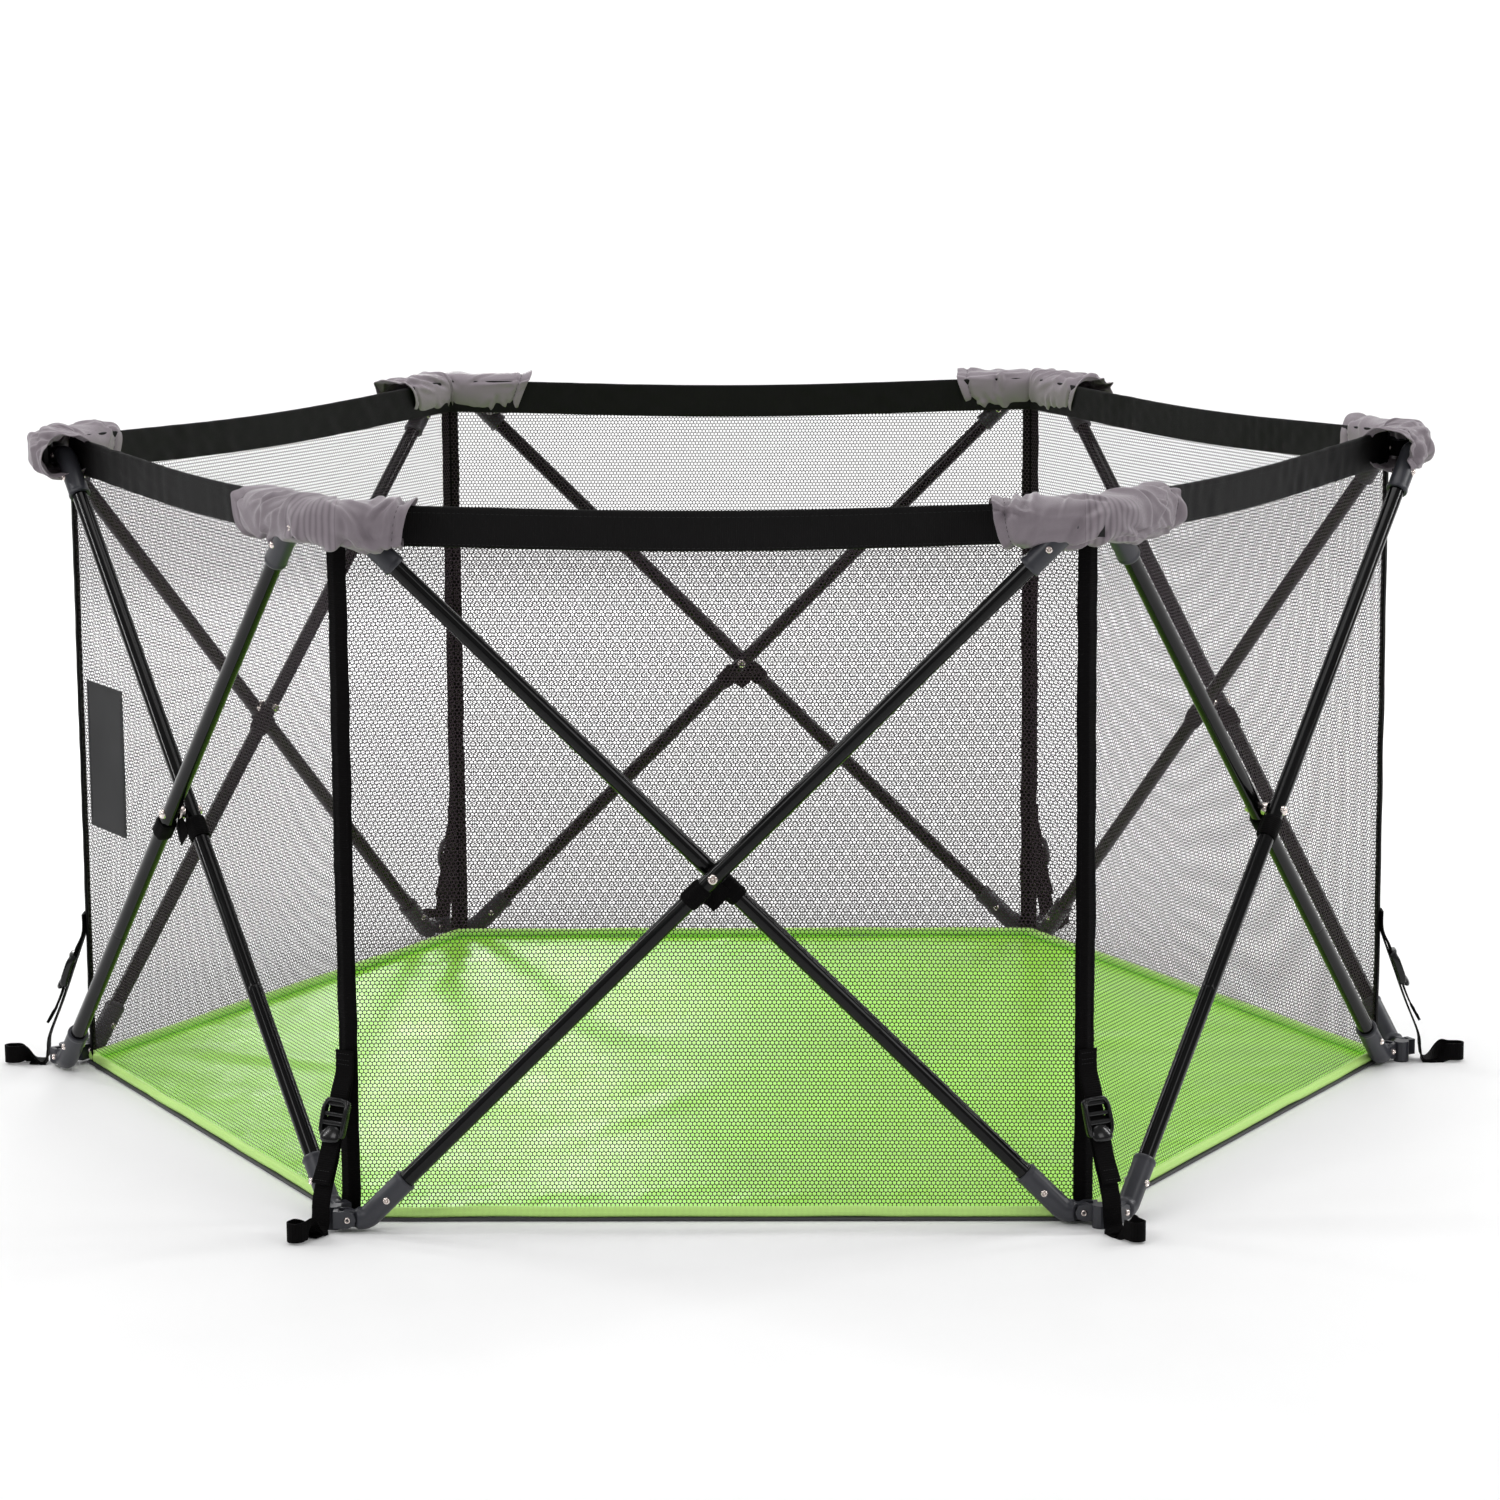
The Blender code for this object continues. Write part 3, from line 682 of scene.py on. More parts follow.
def elbow_rings():
    """An elbow in its own plane (x from its pin, y square to the plane, z up) as rings of points.

    Its centre line runs level from the pin, turns through the tube's slope on a radius of
    ELBOW_BEND, and runs on to the socket's mouth. The section grows from a flat tongue with a
    round end to a full circle, and the mouth has a rolled lip.
    """
    tangent = ELBOW_BEND * math.tan(SLOPE / 2)
    arm = ELBOW_REACH - tangent
    turn_end = arm + ELBOW_BEND * SLOPE
    total = turn_end + SOCKET_LENGTH - tangent
    tip = -LUG_RADIUS * np.cos(np.linspace(0, math.pi / 2, 7)) * 0.998
    s = np.concatenate([
        tip, np.linspace(0.002, arm, 10), np.linspace(arm, turn_end, 14)[1:],
        np.linspace(turn_end, total - 0.006, 6)[1:],
        total - np.array([0.0045, 0.003, 0.0016, 0.0006, 0]),
    ])
    angle = np.clip((s - arm) / ELBOW_BEND, 0, SLOPE)
    past = np.maximum(s - turn_end, 0)
    x = np.where(s < arm, s, arm + ELBOW_BEND * np.sin(angle)) + past * math.cos(SLOPE)
    z = ELBOW_BEND * (1 - np.cos(angle)) + past * math.sin(SLOPE)
    tall = np.sqrt(np.clip(LUG_RADIUS**2 - np.minimum(s, 0) ** 2, 1e-10, None))
    grown = smooth(s, 0.0065, 0.0105)
    tall += (ELBOW_RADIUS - LUG_RADIUS) * grown
    deep = TONGUE / 2 + (ELBOW_RADIUS - TONGUE / 2) * grown
    lip = 0.0006 * smooth(s, total - 0.0046, total - 0.003) - 0.0007 * smooth(s, total - 0.0012, total)
    power = 6 - 4 * grown
    section = np.stack([oval(d + e, t + e, p, 40) for d, t, e, p in zip(deep, tall, lip, power)])
    path = np.stack([x, np.zeros(len(s)), z], -1)
    up = np.stack([-np.sin(angle), np.zeros(len(s)), np.cos(angle)], -1)
    rings = swept(path, np.array([0, 1.0, 0]), up, section)
    ending = path[-1] - 0.003 * np.array([math.cos(SLOPE), 0, math.sin(SLOPE)])
    inner = swept(
        np.stack([path[-1], ending]), np.array([0, 1.0, 0]), up[-1],
        oval(TUBE_RADIUS + 0.0002, TUBE_RADIUS + 0.0002, count=40),
    )
    return np.concatenate([rings, inner])


def placed_elbow(i, local, way, out, top):
    """Puts points of an elbow's plane on panel i: at the foot, or turned half round at the top."""
    sense = -1 if top else 1
    pin_along = -way * sense * PIN_REACH
    height = TOP_PIN if top else FOOT_PIN
    along = pin_along + way * sense * local[..., 0]
    return on_panel(i, along, out + local[..., 1], height + sense * local[..., 2])


RIVET_HEAD = [  # (radius, height) as shares of the head's radius: a dimple, a rolled ring and a rim
    (0, 0.10), (0.16, 0.08), (0.3, 0.16), (0.42, 0.42), (0.58, 0.55), (0.76, 0.5),
    (0.92, 0.28), (1.0, 0.05), (1.0, -0.3), (0, -0.3),
]


def rivet_head(centre, axis, radius):
    """A dimpled rivet head as a shape of revolution."""
    return skin(turned(np.array(RIVET_HEAD) * radius, centre, axis), ends=False)


class PLAYYARD_OT_elbows(bpy.types.Operator):
    """Twenty-four moulded elbows with the rivets that hold them on their tubes"""

    bl_idname = "playyard.elbows"
    bl_label = "Elbows"

    def execute(self, context):
        plastic, steel = finish("slate plastic"), finish("plated steel")
        rings = elbow_rings()
        past = 0.027  # bend's corner to the rivet, along the socket
        spot = np.array([ELBOW_REACH + past * math.cos(SLOPE), 0, past * math.sin(SLOPE)])
        for i in range(SIDES):
            for kind, way, out in (("outer", 1, TUBE_OFFSET), ("inner", -1, -TUBE_OFFSET)):
                heads = []
                for top in (False, True):
                    name = f"elbow_{kind}_{'top' if top else 'foot'}_{i + 1}"
                    stands_for = [] if top else [f"{kind}_foot_elbow_{i + 1}"]
                    piece(
                        name, skin(placed_elbow(i, rings, way, out, top)), plastic,
                        f"{kind}_arm_{i + 1}", replaces=stands_for,
                    )
                    for side in (-1, 1):
                        face = spot + np.array([0, side * (ELBOW_RADIUS - 0.0002), 0])
                        centre = placed_elbow(i, face, way, out, top)
                        heads += rivet_head(centre, side * OUTWARD[i], 0.0034)
                piece(f"elbow_rivets_{kind}_{i + 1}", heads, steel, f"{kind}_arm_{i + 1}")
        return {"FINISHED"}


def tie_wrap(i, way, out):
    """A webbing wrap round the lower half of a tube, just below the crossing."""
    at = np.linspace(0.011, 0.033, 9)
    edge = smooth(np.abs(at - 0.022), 0.008, 0.0111)
    swell = TUBE_RADIUS + 0.0021 - 0.0009 * edge
    t = np.linspace(0, 2 * math.pi, 36, endpoint=False)
    ruffle = 0.0004 * np.sin(5 * t + 3 * way) + 0.0003 * np.sin(9 * t)
    wide = oval(1, 1, count=36)[None] * (swell[:, None] + ruffle)[..., None]
    middle = (TOP_PIN + FOOT_PIN) / 2
    path = on_panel(i, -way * at * math.cos(SLOPE), out, middle - at * math.sin(SLOPE))
    return skin(swept(path, OUTWARD[i], upright(path, OUTWARD[i]), wide))


def tie_flap(i, way, out):
    """Half of the tie's gusset: cloth from the crossing's upright to one lower tube, in two layers.

    A polar sheet round the crossing, from straight down to the tube, its hem at 19 to 33 mm with
    a ragged point in the middle.
    """
    a, b = np.meshgrid(np.linspace(0, 1, 13), np.linspace(0, 1, 10), indexing="ij")
    angle = a * (math.pi / 2 - SLOPE)
    ragged = 0.0008 * np.abs((a * 7) % 1 - 0.5)
    hem = 0.033 - 0.012 * a**0.7 + ragged
    r = 0.002 + b * (hem - 0.002)
    middle = (TOP_PIN + FOOT_PIN) / 2
    depth = 0.001 * np.sin(3.0 * b + 2 * a)
    points = on_panel(i, -way * r * np.sin(angle), out + depth, middle - r * np.cos(angle))
    return [grid_block(points, grid_uv(points))]


class PLAYYARD_OT_crossings(bpy.types.Operator):
    """The rivet at each crossing and the webbing tie wrapped round the tubes below it"""

    bl_idname = "playyard.crossings"
    bl_label = "Crossings"

    def execute(self, context):
        steel, web = finish("plated steel"), finish("webbing")
        middle = (TOP_PIN + FOOT_PIN) / 2
        for i in range(SIDES):
            face = TUBE_OFFSET + TUBE_RADIUS
            heads = []
            for side in (-1, 1):
                centre = on_panel(i, 0, side * (face - 0.0001), middle)
                heads += rivet_head(centre, side * OUTWARD[i], 0.0049)
            washer = [(0, -0.0028), (0.0062, -0.0028), (0.0065, -0.0022), (0.0065, 0.0022)]
            washer += [(0.0062, 0.0028), (0, 0.0028)]
            heads += skin(turned(washer, on_panel(i, 0, 0, middle), OUTWARD[i]), ends=False)
            piece(f"crossing_rivet_{i + 1}", heads, steel, f"outer_arm_{i + 1}")
            for kind, way, out in (("outer", 1, TUBE_OFFSET), ("inner", -1, -TUBE_OFFSET)):
                body = f"{kind}_arm_{i + 1}"
                piece(f"tie_wrap_{kind}_{i + 1}", tie_wrap(i, way, out), web, body)
                flap = piece(
                    f"tie_flap_{kind}_{i + 1}", tie_flap(i, way, 0.0), web, body,
                    away_from=tuple(on_panel(i, 0, -1, middle)),
                )
                thicken(flap, 0.0012)
                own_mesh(flap)
        return {"FINISHED"}


def thicken(made, thickness, offset=0.0, second=None):
    """Gives a sheet its thickness; with second, its back and rim take that finish."""
    solid = made.modifiers.new("Thickness", "SOLIDIFY")
    solid.thickness = thickness
    solid.offset = offset
    if second:
        made.data.materials.append(second)
        solid.material_offset = 1
        solid.material_offset_rim = 1


HUB_LEVELS = (("foot", FOOT_PIN, "slate plastic"), ("top", TOP_PIN, "black plastic"))


class PLAYYARD_OT_brackets(bpy.types.Operator):
    """Finishes the hub brackets and adds the heads of their hinge pins"""

    bl_idname = "playyard.brackets"
    bl_label = "Brackets"

    def execute(self, context):
        steel = finish("plated steel")
        cheek = 0.0084  # pin's tube plane to a clevis's outer face
        for i in range(SIDES):
            for place, height, plastic in HUB_LEVELS:
                node = frame["nodes"][f"{place}_bracket_{i + 1}"]
                node.data.materials.clear()
                node.data.materials.append(finish(plastic))
                heads = []
                for panel, end in ((i, -1), ((i - 1) % SIDES, 1)):
                    outer = (end < 0) == (place == "foot")
                    out = TUBE_OFFSET if outer else -TUBE_OFFSET
                    for side in (-1, 1):
                        centre = on_panel(panel, end * PIN_REACH, out + side * (cheek + 0.0002), height)
                        heads += rivet_head(centre, side * OUTWARD[panel], 0.0032)
                piece(f"{place}_pin_heads_{i + 1}", heads, steel, f"{place}_hub_{i + 1}")
        return {"FINISHED"}


def wall_bow(share, up, hollow):
    """How far the tub's wall stands inward of its plane: a soft hollow, deepest at mid-panel."""
    tall = np.sin(np.clip(up / TOP_PIN, 0, 1) * math.pi) ** 0.8
    return -hollow * np.cos(share * math.pi / 2) ** 1.2 * tall


def rail_sag(share, sag):
    return -sag * np.cos(share * math.pi / 2) ** 1.5


class PLAYYARD_OT_nets(bpy.types.Operator):
    """Six mesh walls in halves, each half hung on the top hub at its own corner"""

    bl_idname = "playyard.nets"
    bl_label = "Mesh walls"

    def execute(self, context):
        sizes = context.scene.play_yard_sizes
        net = finish("net")
        reach = SIDE / 2 - CORNER_INSET - 0.0012
        low, high = sizes.piping_height - 0.002, COVER_TOP - 0.016
        for i in range(SIDES):
            for half, way in ((0, -1), (1, 1)):
                s, z = np.meshgrid(np.linspace(0, 1, 28), np.linspace(0, 1, 40), indexing="ij")
                up = low + z * (high - low)
                up = up + rail_sag(s, sizes.rail_sag) * smooth(z, 0.7, 1)
                wave = 0.0012 * ripple(s * reach * way, up, 40 + i, 0.16) * np.sin(math.pi * s)
                out = NET_PLANE + wall_bow(s, up, sizes.net_hollow) + wave * np.sin(math.pi * z)
                points = on_panel(i, way * s * reach, out, up)
                uv = np.stack([way * s * reach, up], -1)
                name = f"net_{tag(i, half)}"
                made = piece(
                    name, [grid_block(points, uv)], net, top_hub(i, half),
                    away_from=(0, 0, TOP_PIN / 2), replaces=[f"mesh_wall_{i + 1}"],
                )
                gather(made)
        return {"FINISHED"}


class PLAYYARD_OT_edging(bpy.types.Operator):
    """Wide folded webbing along the top edge of every wall, with two rows of stitches"""

    bl_idname = "playyard.edging"
    bl_label = "Top edging"

    def execute(self, context):
        sizes = context.scene.play_yard_sizes
        web, thread = finish("grosgrain"), finish("thread")
        reach = SIDE / 2 - CORNER_INSET + 0.001
        tall, thick = sizes.rail_height, sizes.rail_thickness
        centre = COVER_TOP - 0.009 - tall / 2
        section = band(tall, thick, 15)
        for i in range(SIDES):
            for half, way in ((0, -1), (1, 1)):
                s = np.linspace(0, 1, 90)
                along = way * s * reach
                height = centre + rail_sag(s, sizes.rail_sag)
                out = NET_PLANE + wall_bow(s, height, sizes.net_hollow)
                path = on_panel(i, along, out, height)
                rings = swept(path, UP, OUTWARD[i], section)
                rings = rings + self.rumple(i, way, s, section, reach)[..., None] * OUTWARD[i]
                name = f"edging_{tag(i, half)}"
                made = piece(name, skin(rings), web, top_hub(i, half))
                gather(made)
                rows = []
                for row in (-tall / 2 + 0.003, tall / 2 - 0.006):
                    face = thick / 2 + self.rumple(i, way, s, np.array([[row, 0]]), reach)[:, 0]
                    line = path + row * UP + face[:, None] * OUTWARD[i]
                    rows += stitches(line, OUTWARD[i], radius=0.00022)
                sewn = piece(
                    f"edging_stitches_{tag(i, half)}", rows, thread, top_hub(i, half)
                )
                gather(sewn)
        return {"FINISHED"}

    def rumple(self, i, way, s, section, reach):
        """Wrinkles of the edging, a little deeper on the sides and at the back."""
        u, v = np.meshgrid(way * s * reach, section[:, 0], indexing="ij")
        depth = 0.0005 if i == 0 else 0.0011
        fade = np.sin(math.pi * np.clip(s, 0.02, 0.98))[:, None]
        return depth * fade * (ripple(u, 0.3 * v, 60 + i, 0.05) + 0.6 * ripple(u, v, 80 + i, 0.02))


class PLAYYARD_OT_bindings(bpy.types.Operator):
    """Ribbed webbing down each corner of the tub, hollow behind so that the strap runs up inside"""

    bl_idname = "playyard.bindings"
    bl_label = "Corner bindings"

    def execute(self, context):
        sizes = context.scene.play_yard_sizes
        web = finish("webbing")
        wide = sizes.binding_width
        for i in range(SIDES):
            up = np.linspace(0.004, COVER_TOP - 0.012, 120)
            section = band(wide, 0.0016, 11)
            section = section + np.stack([0 * section[:, 0], -0.32 * np.abs(section[:, 0])], -1)
            wave = 0.0006 * ripple(up, 0, 90 + i, 0.09) + 0.0003 * ripple(up, 0, 95 + i, 0.02)
            narrow = 1 + 0.05 * ripple(up, 0, 110 + i, 0.07)
            out = -(RING - TUB_CORNER) + 0.0026 + 0.0005 * ripple(up, 0, 120 + i, 0.06)
            path = at_hub(i, out, wave, up)
            radial, across = hub_axes(i)
            shaped = section[None] * np.stack([narrow, np.ones(len(up))], -1)[:, None]
            made = piece(
                f"binding_{i + 1}", skin(swept(path, across, radial, shaped)), web,
                f"top_hub_{i + 1}",
            )
        return {"FINISHED"}


GORES = 4  # strips of floor on each side of a hub's own line


def gore_edges():
    """Angles from a hub's line in to the floor's middle at which its strips meet, of equal width.

    A strip's length at angle w is R / 2 / cos(60 - w), so equal widths are equal steps of the
    integral of that, ln(sec + tan).
    """
    far = math.pi / 2 - TURN / 2
    steps = np.linspace(math.log(1 / math.cos(far) + math.tan(far)), 0, GORES + 1)
    return far - 2 * np.arctan(np.tanh(steps / 2))


def floor_height(x, y, wave):
    """Height of the floor's cloth: broad waves and a few long creases that die out at the edge."""
    headings = np.array([outward[:2] for outward in OUTWARD])
    inward = APOTHEM + NET_PLANE - np.max(np.stack([x * a + y * b for a, b in headings]), axis=0)
    calm = smooth(inward, 0.0, 0.07)
    broad = 0.5 + 0.5 * ripple(x, y, 7, 0.34)
    folds = np.clip(creases(x, y, 11, 16, 0.17, 0.030, 1.6, (-0.65, 0.65, -0.6, 0.6)), -0.4, 1)
    near_rim = smooth(inward, 0.0, 0.02) * (1 - smooth(inward, 0.06, 0.16))
    edge = 0.4 * np.clip(ripple(x, y, 5, 0.06), 0, 1) * near_rim
    return 0.0035 + wave * (calm * (0.9 * broad + 0.75 * folds) + edge)


class PLAYYARD_OT_floor(bpy.types.Operator):
    """The lime floor as strips that fan out from the six hubs, each hung on the top hub it fans from"""

    bl_idname = "playyard.floor"
    bl_label = "Floor"

    def execute(self, context):
        sizes = context.scene.play_yard_sizes
        lime, grey = finish("lime cloth"), finish("grey underside and painted shadow")
        edges = gore_edges()
        far = math.pi / 2 - TURN / 2
        half_side = TUB_CORNER * math.sin(TURN / 2)
        for i in range(SIDES):
            radial, across = hub_axes(i)
            corner = TUB_CORNER * radial
            for side in (-1, 1):
                for k in range(GORES):
                    a = np.linspace(edges[k], edges[k + 1], 13)
                    reach = half_side / np.cos(far - a)
                    t = np.linspace(0, 1, 84)[:, None]
                    angle = side * a[None] + 0 * t
                    heading = -np.cos(angle)[..., None] * radial + np.sin(angle)[..., None] * across
                    points = corner + (t * reach)[..., None] * heading
                    points[..., 2] = floor_height(points[..., 0], points[..., 1], sizes.floor_wave)
                    name = f"floor_strip_{i + 1}_{'lr'[(side + 1) // 2]}{k + 1}"
                    made = piece(
                        name, [grid_block(points, points[..., :2])], lime,
                        f"top_hub_{i + 1}", away_from=(0, 0, -9), replaces=["floor"],
                    )
                    thicken(made, 0.0016, -1.0, grey)
                    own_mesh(made)
        return {"FINISHED"}


class PLAYYARD_OT_piping(bpy.types.Operator):
    """The lime roll round the floor's edge, with a dark grey strip on the ground under it: a painted shadow
    of the roll, in the same grey as the floor's real underside
    """

    bl_idname = "playyard.piping"
    bl_label = "Piping"

    def execute(self, context):
        sizes = context.scene.play_yard_sizes
        lime, grey = finish("lime piping"), finish("grey underside and painted shadow")
        tall = sizes.piping_height
        reach = SIDE / 2 - CORNER_INSET + 0.0015
        for i in range(SIDES):
            for half, way in ((0, -1), (1, 1)):
                s = np.linspace(0, 1, 70)
                rise = 0.0008 * ripple(s * reach * way, 0, 130 + i, 0.11) * np.sin(math.pi * s)
                sway = 0.0006 * ripple(s * reach * way, 0, 140 + i, 0.07) * np.sin(math.pi * s)
                out = NET_PLANE + 0.001 + sway
                path = on_panel(i, way * s * reach, out, 0.0032 + tall / 2 + rise)
                roll = skin(swept(path, OUTWARD[i], UP, oval(0.0036, tall / 2, 2.3, 20)))
                made = piece(f"piping_{tag(i, half)}", roll, lime, top_hub(i, half))
                gather(made)
                # painted shadow: a flat dark grey strip along the ground under the piping stands for the
                # roll's shadow line
                path = on_panel(i, way * s * reach, NET_PLANE, 0.0018 + 0 * s)
                hem = skin(swept(path, OUTWARD[i], UP, band(0.013, 0.003)))
                made = piece(f"painted_shadow_strip_{tag(i, half)}", hem, grey, top_hub(i, half))
                gather(made)
        return {"FINISHED"}


ARM_LENGTHS = [  # each hub's sleeve along its own panel, and along the panel before it
    (0.080, 0.135), (0.107, 0.096), (0.085, 0.060), (0.092, 0.107), (0.09, 0.10), (0.060, 0.085),
]


class PLAYYARD_OT_sleeves(bpy.types.Operator):
    """Rumpled cloth sleeves over the top hubs, an arm along each of the two panels"""

    bl_idname = "playyard.sleeves"
    bl_label = "Corner sleeves"

    def execute(self, context):
        cloth, thread = finish("sleeve cloth"), finish("thread")
        for i in range(SIDES):
            # the arm along panel i starts at its near end, the other along the panel before it
            for arm, (panel, end) in enumerate(((i, -1), ((i - 1) % SIDES, 1))):
                long = ARM_LENGTHS[i][arm]
                points, s = self.arm(i, arm, end, long)
                name = f"sleeve_{tag(i, arm)}"
                centre = on_panel(panel, end * (SIDE / 2 - long / 2), 0, TOP_PIN)
                made = piece(
                    name, [grid_block(points, grid_uv(points, True), True)], cloth,
                    f"top_hub_{i + 1}", away_from=tuple(centre), replaces=[f"corner_cover_{i + 1}"],
                )
                thicken(made, 0.0008, -1.0)
                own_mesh(made)
                row = int(np.argmin(np.abs(s - (1 - 0.010 / long))))
                ring = points[row]
                middle = ring.mean(0)
                away = ring - middle
                line = ring + 0.0003 * away / np.linalg.norm(away, axis=1, keepdims=True)
                sewn = self.hoop(line, end * ALONG[panel])
                sewn = piece(
                    f"sleeve_stitches_{tag(i, arm)}", sewn, thread, f"top_hub_{i + 1}"
                )
                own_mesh(sewn)
        return {"FINISHED"}

    def hoop(self, line, axis):
        """Stitches round a sleeve: the loop is cut into short runs so that each takes its own normal."""
        blocks = []
        middle = line.mean(0)
        closed = np.vstack([line, line[:1]])
        for k in range(0, len(line), 4):
            run = closed[k : k + 5]
            normal = run.mean(0) - middle
            normal -= axis * (normal @ axis)
            normal = normal / np.linalg.norm(normal)
            blocks += stitches(run, normal, length=0.0028, gap=0.001, radius=0.00022)
        return blocks

    def arm(self, i, arm, end, long):
        """One arm as rings from the corner's middle to its collar.

        The centre line is an arc of CORNER_ROUND that touches both panels' planes and then runs
        straight. Each ring is a boxy oval. Folds are ridges across it, the seam 10 mm from the
        end draws in, and the collar flares and slants.
        """
        s = np.concatenate([np.linspace(0, 0.82, 70), np.linspace(0.82, 1, 26)[1:]])
        section = oval(0.0256, 0.0205, 2.6, 96)
        t = np.linspace(0, 2 * math.pi, 96, endpoint=False)
        ss, tt = np.meshgrid(s * long, t, indexing="ij")
        draw = np.random.default_rng(200 + 2 * i + arm)
        wrap = (tt + math.pi) % (2 * math.pi) - math.pi  # 0 outside the yard, its jump inside
        around = wrap * 0.024
        sharp = creases(ss, around, 210 + 2 * i + arm, 26, 0.024, 0.0036, 0.9)
        folds = 0.0040 * np.clip(sharp, -0.7, 1.2)
        folds += 0.0016 * ripple(ss, around, 240 + 2 * i + arm, 0.034)
        calm = smooth(ss, 0.0, 0.006) * np.clip(np.cos(wrap / 2), 0, 1) ** 0.4
        seam = np.exp(-(((long - 0.010 - ss) / 0.0022) ** 2))
        flare = smooth(ss, long - 0.010, long)
        swell = 1 + 0.07 * np.sin(math.pi * ss / long)
        grow = calm * folds - 0.0018 * seam + flare * (0.0018 + 0.0018 * np.sin(3 * tt + draw.uniform(0, 6)))
        direction = section / np.linalg.norm(section, axis=1, keepdims=True)
        shaped = section[None] * swell[..., None] + direction[None] * grow[..., None]
        out = -0.0028 + shaped[..., 0]
        up = COVER_TOP - 0.0215 + shaped[..., 1] - 0.0034 * np.sin(math.pi * ss / long / 1.3)
        slanted = 0.006 * (shaped[..., 1] / 0.0205) + 0.0022 * np.sin(2 * tt + draw.uniform(0, 6))
        along = ss + slanted * smooth(ss, long * 0.6, long)
        turn = np.minimum(along / CORNER_ROUND, TURN / 2)
        straight = np.maximum(along - CORNER_ROUND * TURN / 2, 0)
        sideways = CORNER_ROUND * np.sin(turn) + straight * math.cos(TURN / 2) + out * np.sin(turn)
        radial = CORNER_ROUND * (np.cos(turn) - 1 / math.cos(TURN / 2)) - straight * math.sin(TURN / 2)
        return at_hub(i, radial + out * np.cos(turn), -end * sideways, up), s


CORNER_ROUND = 0.034  # radius of a sleeve's centre line round its corner


def strap_line():
    """The strap's centre line in a hub's radial plane (outward, up), from high inside the corner
    binding, down past the buckle, round the front of the bracket and out along the ground."""
    hidden = -(RING - TUB_CORNER) + 0.0008
    top = np.array([hidden, STRAP_TOP])
    bend = np.array([STRAP_FOOT + 0.001, 0.024])
    lifted = STRAP_TOP + 2 * (RISE / 2 * math.cos(FOLD) + PIN_REACH * math.sin(FOLD)) - RISE
    high = np.stack([np.full(12, hidden), np.linspace(lifted, STRAP_TOP + 0.012, 12)], -1)
    low = [top, top + (bend - top) * 0.33, top + (bend - top) * 0.66, bend + (-0.0015, 0.008)]
    low += [bend + (0.0008, -0.008), bend + (0.003, -0.0185), bend + (0.010, -0.0222), bend + (0.02, -0.0222)]
    return np.vstack([high, curve_through(low, 70)])


def slant():
    """The strap's slope between the tub and the bracket: its direction down, and square to it."""
    down = np.array([STRAP_FOOT + (RING - TUB_CORNER), 0.024 - STRAP_TOP])
    down /= np.linalg.norm(down)
    return down, np.array([-down[1], down[0]])


def on_slant(i, at, across, out):
    """World points near a buckle: distances down the slanting strap from the buckle's middle,
    across the strap, and out from it."""
    down, square = slant()
    share = (STRAP_TOP - BUCKLE_HEIGHT) / (STRAP_TOP - 0.024)
    start = np.array([-(RING - TUB_CORNER), STRAP_TOP])
    end = np.array([STRAP_FOOT + 0.001, 0.024])
    centre = start + (end - start) * share
    at, out = np.asarray(at, float), np.asarray(out, float)
    radial = centre[0] + at * down[0] + out * square[0]
    up = centre[1] + at * down[1] + out * square[1]
    return at_hub(i, radial, across, up)


BUCKLE_HEIGHT = 0.100
BUCKLE_BARS = (  # down the strap from the middle, out from it, half width
    (-0.0145, 0.0036, 0.0026), (-0.0045, 0.0052, 0.0022), (0.0035, 0.0058, 0.0024),
)


